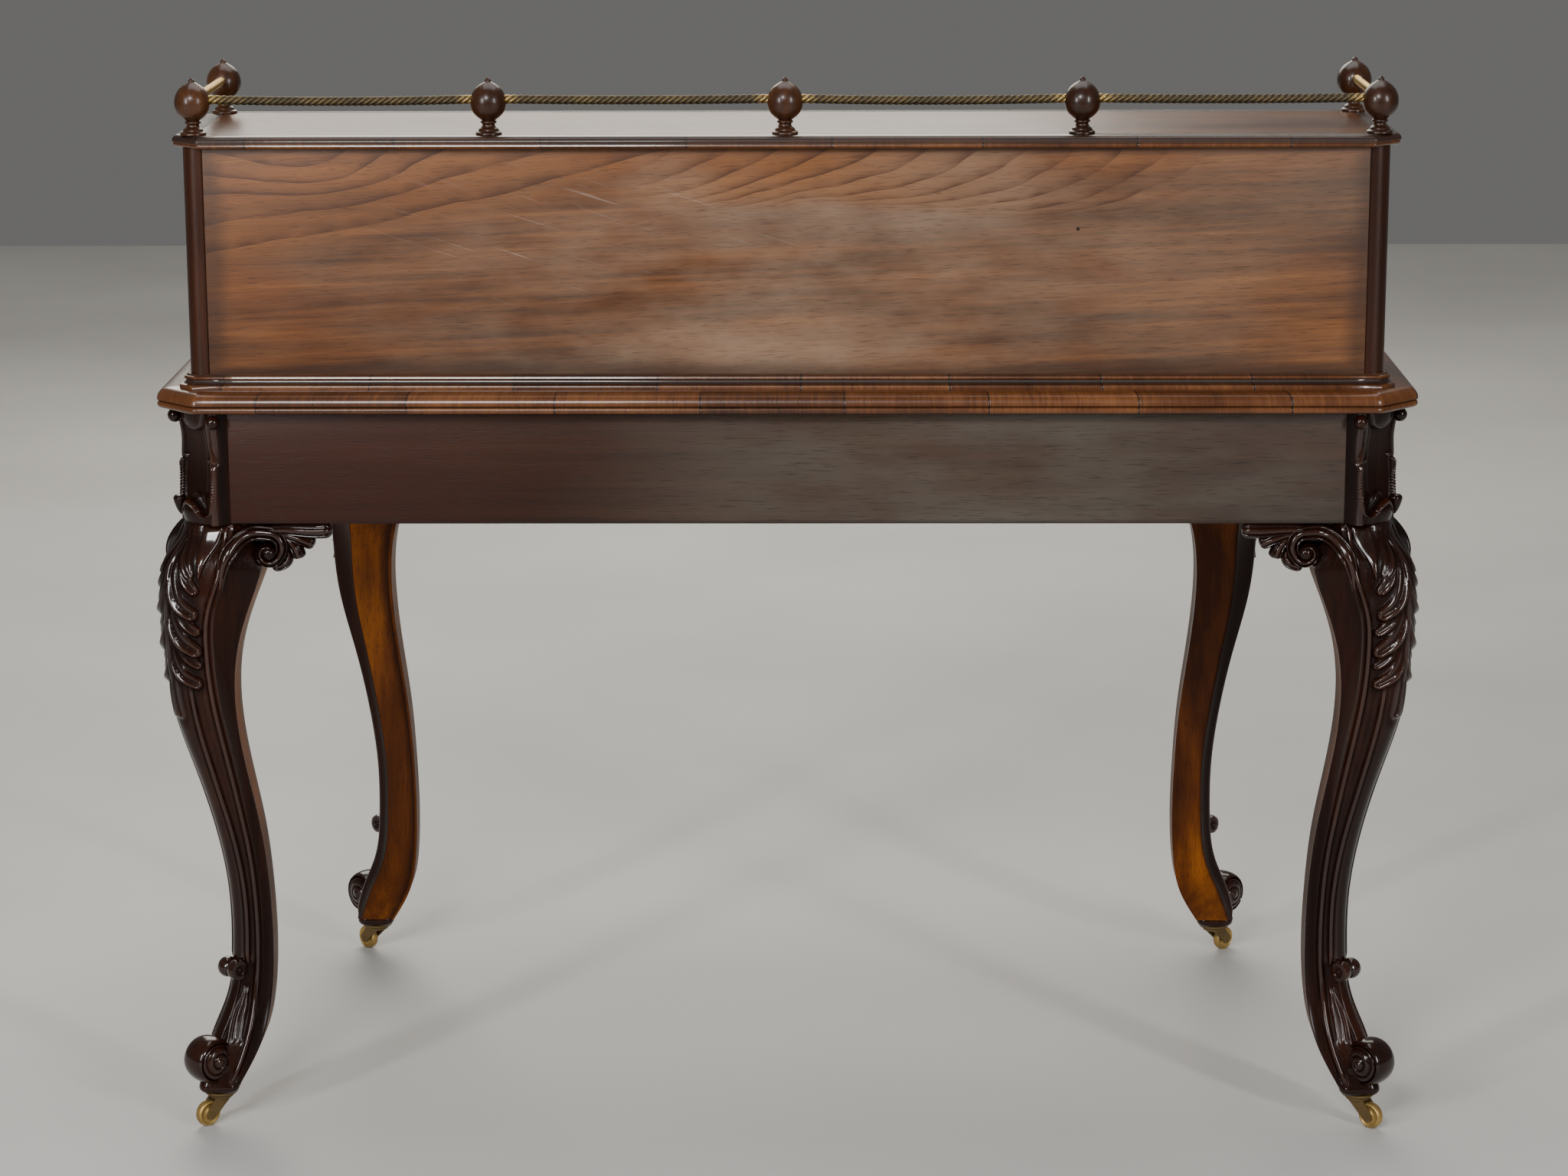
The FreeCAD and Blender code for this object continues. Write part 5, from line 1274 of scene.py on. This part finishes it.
def leg_toe():
    """The scroll toe, turned about the line across the diagonal: a round ball between two sides. On
    each side a ridge winds in to the eye as a spiral of even pitch, and the coils stand out further
    towards the eye."""
    angle = np.linspace(0, math.tau, 96, endpoint=False)[None]
    radius = TOE_RIM * np.linspace(1, 0, 44)[:, None]
    wind = (radius / TOE_PITCH - angle / math.tau) % 1
    coil = dome(2 * wind - 1, 1) * smooth_step(TOE_RIM, TOE_RIM - 1.5, radius)
    cone = 5.4 * (1 - (radius / TOE_RIM) ** 1.6)
    eye = smooth_step(TOE_EYE, TOE_EYE - 1.6, radius)
    offset = TOE_HALF - 1.2 + cone + (1 - eye) * (2.2 * coil - 1.2) + eye * 0.32 * dome(radius, TOE_EYE)
    tone = np.clip(0.22 + 0.4 * np.maximum(coil, eye) + 0 * angle, 0, 1)
    barrel = np.linspace(-TOE_HALF, TOE_HALF, 22)[:, None]
    belly = TOE_RIM + (TOE_RADIUS - TOE_RIM) * dome(barrel / (TOE_HALF + 0.6), 1) + 0 * angle
    radii = np.concatenate([radius[::-1] + 0 * angle, belly, radius + 0 * angle])
    spread = np.concatenate([-offset[::-1], barrel + 0 * angle, offset])
    relief = np.concatenate([tone[::-1], 0.55 + 0 * belly, tone])
    return rolled(radii, spread, angle, TOE_PLACE, relief)


def ankle_curl():
    """The small scroll above the ankle panel, turned about the line across the diagonal: two rolls
    side by side with a waist between them, each with a sunk ring in its end."""
    across = np.linspace(-1, 1, 61)
    rolls = CURL_WAIST + (CURL_RADIUS - CURL_WAIST) * np.sin(np.abs(across) * math.pi * 0.86) ** 0.8
    body = np.stack([rolls, across * CURL_HALF], -1)[1:-1]
    end = CURL_END + (0, CURL_HALF)
    profile = np.concatenate([end * (1, -1), body, end[::-1]])
    angle = np.linspace(0, math.tau, 56, endpoint=False)[None]
    radius, spread = profile[:, :1], profile[:, 1:] + 0 * angle
    tone = np.clip(0.25 + 0.045 * radius + 0 * angle, 0, 1)
    return rolled(radius, spread, angle, CURL_PLACE, tone)


def leg_plinth(low):
    """A pad under the toe: well rounded squares that swell from a neck and draw in again at the foot."""
    rows = []
    for level, half in softened([(low + rise, half) for rise, half in PLINTH]):
        soft = 0.5 * half
        ring = np.concatenate([arc((sx * (half - soft), sy * (half - soft)), soft, start, start + 90, 9)
                               for sx, sy, start in ((1, 1, 0), (-1, 1, 90), (-1, -1, 180), (1, -1, 270))])
        rows.append(at_level(ring, level))
    return capped(rows)


def make_legs():
    """Shaft, toe, ankle curl, plinth and the hidden post, once for each corner."""
    shaft, toe, curl = leg_shaft(), leg_toe(), ankle_curl()
    inside, outside = -POST_SETBACK - POST_HALF, POST_HALF - POST_SETBACK
    for corner, turn in TURNS.items():
        low, high = corners(f"{corner}_leg")
        foot = (*FEET[corner], 0)
        post = rounded_box((inside, inside, LEG_HEAD - 3), (outside, outside, high[2]), 0.5)
        parts = [moved(part, turn - 45, foot) for part in (shaft, leg_plinth(low[2]), post)]
        parts += [moved(part, turn, foot) for part in (toe, curl)]
        piece(f"{corner}_cabriole", parts, CARVED, nodes=[f"{corner}_leg"], sharp=52)


# Corner blocks and knee brackets

# Beads on one half of a block, as distance from its middle and rise over the frieze's foot
UPPER_BEAD = [(21.5, 98), (20.5, 84), (22.5, 70), (24, 62)]
LOWER_BEAD = [(24, 57), (25, 44), (24.5, 28), (22.5, 15), (18, 9), (12, 11), (6, 18.5), (0, 24)]
BLOCK_SEAT, BLOCK_SUNK = -5.0, 6.0
BLOCK_FREE, BLOCK_OVER = 28.0, 35.0  # reach of a face on a free side, and over a rail's end
BLOCK_LOBE_HALF, BLOCK_LOBE_TALL = 18.5, 22
BLOCK_FOOT_TALL, BLOCK_FOOT_ROUND, BLOCK_FOOT_HALF = 22, 25, 17.7
BLOCK_KNOB = (17.5, 62)
BLOCK_BALL, BLOCK_BALL_OUT, BLOCK_BALL_DROP = 7.0, 5.5, 9.5
BLOCK_TIP_OUT, BLOCK_TIP_SHY, BLOCK_TIP_RISE = 4.5, 3.8, 18
BLOCK_TIP = [(0, -15), (3.2, -11), (5.8, -5), (7.3, 0), (7.3, 2.6), (5.4, 4.8), (0, 5.4)]


def block_relief(side, up, lift):
    """Carving of a corner block over the distance from its middle and the rise, from its seat outwards:
    a hollow face between raised edges, a half-round lobe hung from the top, a bead down each edge that
    sweeps round under the face and rises to a lip in the middle, and below it a foot that swells
    over the leg's head. Lift is how far the edge stands up."""
    tall = TABLE_UNDER - FRIEZE_UNDER
    face = 6.5 - 3.6 * np.sin(np.clip((up - 16) / (tall - 30), 0, 1) * math.pi)
    far = (side / BLOCK_LOBE_HALF) ** 2 + ((up - tall) / BLOCK_LOBE_TALL) ** 2
    inside = np.clip(1 - far, 0, None)
    lobe = face + 8.0 * np.sqrt(inside) + 0.8 * bell(np.sqrt(1 - np.clip(inside, 0, 0.99)) - 0.86, 0.05)
    off, share = nearest(side, up, LOWER_BEAD)
    near = np.minimum(side, BLOCK_FOOT_HALF)
    droop = BLOCK_FOOT_ROUND - dome(near, BLOCK_FOOT_ROUND) + side - near
    foot = 16.3 + 2.6 * np.sin(up / BLOCK_FOOT_TALL * math.pi) - droop
    outside = np.maximum(np.where(up < 27, foot, 0), 7.2)
    ground = np.maximum(face, lobe)
    ground = ground + (outside - ground) * smooth_step(-0.4, 1.6, off) * smooth_step(62, 54, up)
    lip = 1 + 1.4 * smooth_step(0.74, 1, share)
    lower = lip * dome(off / lip, 2.4)
    inner = 0.7 * dome(off + 4.6, 1.7) * smooth_step(0.8, 0.68, share)
    upper = dome(nearest(side, up, UPPER_BEAD)[0], 2.2)
    knob = dome(np.hypot(side - BLOCK_KNOB[0], up - BLOCK_KNOB[1]), 2.8)
    edge = -9.0 * (1 - dome(np.clip((side - BLOCK_HALF + 3.2) / 3.2, 0, 1), 1))
    return ground + np.max([lower, inner, upper, knob], 0) + edge + lift * smooth_step(8, 24, side)


def carved_block(ahead, behind):
    """A block whose face reaches so far ahead and behind its middle, with sides back to its seat, a
    small ball at each upper edge and a curled tip over a tapered stalk low on each free edge. A face
    that reaches over a rail's end stands up there."""
    share = np.linspace(-1, 1, 121)[None]
    z = np.linspace(FRIEZE_UNDER, TABLE_UNDER, 210)[:, None]
    t = np.where(share > 0, ahead * share, behind * share) + 0 * z
    lift = np.where(share > 0, ahead - BLOCK_HALF, behind - BLOCK_HALF) * 0.7
    height = block_relief(BLOCK_HALF * np.abs(share) + 0 * z, z - FRIEZE_UNDER + 0 * t, lift)
    front = np.stack([BLOCK_SEAT + height, t, z + 0 * t], -1)
    tone = np.clip(0.45 + 0.13 * (height - blurred(height, 8)), 0, 1)
    block = backed(front, 0, BLOCK_SEAT - BLOCK_SUNK, tone)
    balls = [ball(BLOCK_BALL, (BLOCK_BALL_OUT, reach, TABLE_UNDER - BLOCK_BALL_DROP))
             for reach in (ahead - 1.5, 0.5 - behind)]
    tip = softened(BLOCK_TIP)
    level = FRIEZE_UNDER + BLOCK_TIP_RISE
    tips = [turned(tip, (BLOCK_TIP_OUT, way * (reach - BLOCK_TIP_SHY), level), 28)
            for way, reach in ((1, ahead), (-1, behind)) if reach <= BLOCK_FREE]
    return [block] + balls + tips


def make_corner_blocks():
    """A carved block on each canted corner; those at the back lap over the ends of the back rail."""
    reaches = {"back_right": (BLOCK_OVER, BLOCK_FREE), "back_left": (BLOCK_FREE, BLOCK_OVER)}
    for corner, turn in TURNS.items():
        parts = carved_block(*reaches.get(corner, (BLOCK_FREE, BLOCK_FREE)))
        parts = [moved(part, turn, (*FEET[corner], 0)) for part in parts]
        piece(f"{corner}_carved_block", parts, CARVED, nodes=[f"{corner}_corner_block"], sharp=60)


SCROLL_EYE = np.array([-68.5, 590.2])
EYE_RADIUS, EYE_DEPTH = 7.0, 17.5
SCROLL_ARCH = [(-23, 556), (-25.5, 575), (-31.5, 592), (-42, 604.5), (-55, 609.8), (-68.5, 609.2)]
SCROLL_WIND = 470  # degrees that it winds about its eye
SCROLL_HALVES = (2.4, 8.2, 7.4)  # half width at the leg, where it is broadest, and over the arch
BAND_RIBS = [(-0.8, 0.2, 0.75), (-0.05, 0.55, 1.0), (0.73, 0.27, 0.8)]  # place, half width, height
BAND_DEPTH, BAND_PROUD = 14, 22.0  # how far out the scroll lies, and how much further at the leg
BAND_SUNK = 8.0
EAR_SUNK = 10.0


def scroll_path():
    """The bracket's C-scroll seen square on: it leaves the leg's field, arches over under the rail
    and winds in about its eye, nearer with every turn. Gives the path and its half width."""
    arch = through(SCROLL_ARCH, 46)
    turns = np.linspace(0, 1, 84)
    angle = np.radians(90 + SCROLL_WIND * turns)
    radius = 19.0 - 8.8 * smooth_step(0, 0.26, turns) - 6.4 * smooth_step(0.3, 1, turns)
    spiral = SCROLL_EYE + np.stack([radius * np.cos(angle), radius * np.sin(angle)], -1)
    thin, broad, top = SCROLL_HALVES
    half = np.concatenate([np.linspace(thin, broad, 20), np.linspace(broad, top, 25),
                           top - 2.2 * smooth_step(0, 0.3, turns) - 2.8 * smooth_step(0.3, 1, turns)])
    return np.concatenate([arch[:-1], spiral]), half


def ribbed_band(path, depth, half, rise):
    """A band carried along a path, raised towards the viewer: a thin fillet on its outer edge, a
    broad round and a bead on its inner edge. The path lies in the plane of the outer face, and depth
    is how far out each point is."""
    across = np.linspace(-1, 1, 33)
    crown = np.max([tall * dome((across - at) / wide, 1) for at, wide, tall in BAND_RIBS], 0)
    flat = path[:, None] + sideways(path)[:, None] * across[None, :, None] * half[:, None, None]
    out = depth[:, None] + rise[:, None] * crown[None]
    front = np.stack([flat[..., 0], out, flat[..., 1]], -1)
    tone = np.clip(0.15 + 0.6 * crown[None] + 0 * out, 0, 1)
    return backed(front, 1, depth[:, None] - BAND_SUNK, tone)


def leaf_lobe(points, wide, rise, depth):
    """One curled lobe: a finger along a bent line with a round drooping tip, fluted by two veins."""
    share = np.linspace(0, 1, 44)
    line = spline(np.linspace(0, 1, len(points)), points, share)
    tip = np.sqrt(np.clip(1 - np.clip((share - 0.86) / 0.14, 0, 1) ** 2, 0.0004, 1))
    half = wide * (0.55 + 0.45 * np.sin(share * 1.9)) * tip
    across = np.linspace(-1, 1, 27)
    crown = dome(across, 1) * (1 - 0.3 * bell(np.abs(across) - 0.42, 0.12))
    flat = line[:, None] + sideways(line)[:, None] * across[None, :, None] * half[:, None, None]
    swell = rise * (0.5 + 0.5 * np.sin(share * 2.4)) * tip
    out = depth + swell[:, None] * crown[None]
    front = np.stack([flat[..., 0], out, flat[..., 1]], -1)
    back = front[:, -2:0:-1].copy()
    back[..., 1] = depth - EAR_SUNK * tip[:, None] * dome(across[-2:0:-1], 1)[None]
    tone = np.clip(0.1 + 0.7 * crown[None] + 0 * out, 0, 1)
    relief = np.concatenate([tone, np.full(back.shape[:2], PLAIN_TONE)], 1)
    return capped(np.concatenate([front, back], 1), relief)


# Lobes of a bracket's leaf: points along each one, half width, rise and depth
EAR_LOBES = [
    ([(-64, 611.5), (-88, 612.5), (-112, 611.5), (-131, 612.5)], 8.2, 9.0, 12.0),
    ([(-72, 609), (-88, 606.5), (-102, 602), (-113, 597)], 6.8, 8.5, 10.5),
    ([(-78, 606), (-89, 600), (-95, 592), (-98, 583)], 7.0, 8.0, 9.5),
    ([(-84, 594), (-87, 585), (-82, 577.5), (-70, 574.5)], 5.6, 6.5, 8.0),
]
EAR_PLATE = [(-126, 618.9), (-124, 610), (-108, 601), (-95, 588), (-84, 581), (-70, 582), (-56, 600),
             (-40, 600), (-29, 588), (-24, 618.9)]
EAR_PLATE_FACES = (-6.0, 7.0)


def knee_bracket():
    """One ear in the frame of a back leg: X away from the desk's middle, Y out of the back face."""
    path, half = scroll_path()
    share = np.linspace(0, 1, len(path))
    depth = BAND_DEPTH + BAND_PROUD * smooth_step(0.3, 0.1, share)
    rise = 2.0 + 4.0 * smooth_step(0, 0.25, share) + 2.5 * smooth_step(0.5, 1, share)
    band = ribbed_band(path, depth, half, rise)
    eye = ball(EYE_RADIUS, (SCROLL_EYE[0], EYE_DEPTH, SCROLL_EYE[1]))
    plate = capped([[(x, y, z) for x, z in EAR_PLATE] for y in EAR_PLATE_FACES])
    return [band, eye, *[leaf_lobe(*lobe) for lobe in EAR_LOBES], plate]


def make_brackets():
    """Each back leg's two ears: one under the back rail, one under the side rail, mirrored about
    the leg's diagonal."""
    parts = []
    for points, *rest in knee_bracket():
        parts += [(points, *rest), (points[:, [1, 0, 2]], *rest)]
    for side, sign in SIDES:
        corner = f"back_{side}"
        ears = [moved(part, 0, (*FEET[corner], 0), mirror=sign) for part in parts]
        piece(f"{corner}_scroll_brackets", ears, CARVED, nodes=[f"{corner}_knee_brackets"], sharp=55)


# Casters and drawer linings

WHEEL_HALF = [(2.1, -4.4), (4.6, -4.4), (5.2, -3.2), (9.6, -3.0), (10.4, -4.0), (11.4, -4.4), (12.6, -3.4),
              (13, -1.2)]


def make_casters():
    """A dished brass wheel at each roll axis; the horn, pin and socket keep their own shapes."""
    half = np.array(WHEEL_HALF)
    flat, *rest = turned(softened(np.concatenate([half, half[::-1] * (1, -1)]), 1), around=40)
    upright = (flat[:, [0, 2, 1]], *rest)
    for corner, turn in TURNS.items():
        wheel = moved(upright, turn, JOINT_PLACES[f"{corner}_roll"])
        piece(f"{corner}_roller", [wheel], CASTER_BRASS, f"{corner}_wheel", [f"{corner}_caster_wheel"],
              sharp=50)
    dress(("caster_horn", "caster_axle", "caster_sockets"), CASTER_BRASS)


def dress(endings, finish):
    """Give nodes that keep their own shape a finish, found by the endings of their names."""
    for node in frame["nodes"]:
        if node.endswith(endings):
            materials = frame["nodes"][node].data.materials
            materials.clear()
            materials.append(finish.material)


def make_linings():
    """The drawers' boxes and the runners keep their own shapes."""
    dress(("_box", "drawer_runners"), LINING)


# Stage

CAMERA_PLACE = (-0.0557, 4.0825, 1.4130)
CAMERA_HEADING = 180.89
CAMERA_PITCH = 12.952
CAMERA_ROLL = -0.201
CAMERA_LENS, CAMERA_SENSOR = 90.49, 36
FLOOR_REACH = 6.0
WARM = (1, 0.94, 0.84)
SURROUND, SURROUND_STRENGTH = (0.9, 0.89, 0.87, 1), 0.16

# Lamps: name, place, aim, size, power and colour
LAMPS = [
    ("left_strip", (2.6, 3.6, 1.8), (0.4, 0.3, 0.55), (0.3, 1.6), 90, (1, 1, 1)),
    ("right_strip", (-2.7, 3.4, 1.8), (-0.4, 0.3, 0.55), (0.3, 1.6), 80, (1, 1, 1)),
    ("key_lamp", (0.9, 4.0, 3.0), (0, 0.2, 0.6), (1.1, 0.8), 105, (1, 1, 1)),
    ("top_lamp", (0, -0.4, 3.4), (0, 0, 0.6), (2.6, 1.8), 45, (1, 1, 1)),
    ("front_lamp", (0.6, -3.4, 2.4), (0, 0, 0.6), (2.4, 1.6), 55, WARM),
    ("floor_lamp", (0, -3.2, 3.6), (0, -3.6, 0), (4.0, 1.6), 90, WARM),
]


def make_camera():
    """The photograph's own camera: heading about Z, tilt below the horizon, then a slight roll."""
    lens = bpy.data.cameras.new("camera")
    lens.lens = CAMERA_LENS
    lens.sensor_width = CAMERA_SENSOR
    camera = placed("camera", lens)
    turns = ((CAMERA_HEADING, "Z"), (90 - CAMERA_PITCH, "X"), (CAMERA_ROLL, "Z"))
    spin = Matrix.Identity(4)
    for angle, axis in turns:
        spin = spin @ Matrix.Rotation(math.radians(angle), 4, axis)
    camera.matrix_world = Matrix.Translation(CAMERA_PLACE) @ spin
    bpy.context.scene.camera = camera


def area_light(name, place, aim, size, power, colour):
    """A soft rectangular lamp that faces a point."""
    lamp = bpy.data.lights.new(name, "AREA")
    lamp.shape = "RECTANGLE"
    lamp.size, lamp.size_y = size
    lamp.energy = power
    lamp.color = colour
    holder = placed(name, lamp)
    away = Vector(aim) - Vector(place)
    holder.matrix_world = Matrix.Translation(place) @ away.to_track_quat("-Z", "Y").to_matrix().to_4x4()


def make_stage():
    """Pale floor, soft lamps to both sides of the camera and above, and an even grey surround."""
    ends = np.array([-FLOOR_REACH, FLOOR_REACH])
    points = np.stack([*np.meshgrid(ends, ends, indexing="ij"), np.zeros((2, 2))], -1)
    mesh = bpy.data.meshes.new("floor")
    mesh.from_pydata(points.reshape(-1, 3).tolist(), [], [(0, 2, 3, 1)])
    mesh.materials.append(pale_floor().material)
    floor = placed("floor", mesh)
    for lamp in LAMPS:
        area_light(*lamp)
    world = bpy.data.worlds.new("surround")
    world.use_nodes = True
    sky = world.node_tree.nodes["Background"].inputs
    sky["Color"].default_value = SURROUND
    sky["Strength"].default_value = SURROUND_STRENGTH
    bpy.context.scene.world = world


def main():
    """Every piece of the desk, then the camera and the stage."""
    make_table_top()
    make_edge_moulding()
    make_leather()
    make_back_rail()
    make_side_rails()
    make_front_rail()
    make_frieze_drawer()
    make_case_top()
    make_base_moulding()
    make_case_walls()
    make_case_inside()
    make_gallery()
    make_legs()
    make_corner_blocks()
    make_brackets()
    make_casters()
    make_linings()
    make_camera()
    make_stage()


main()
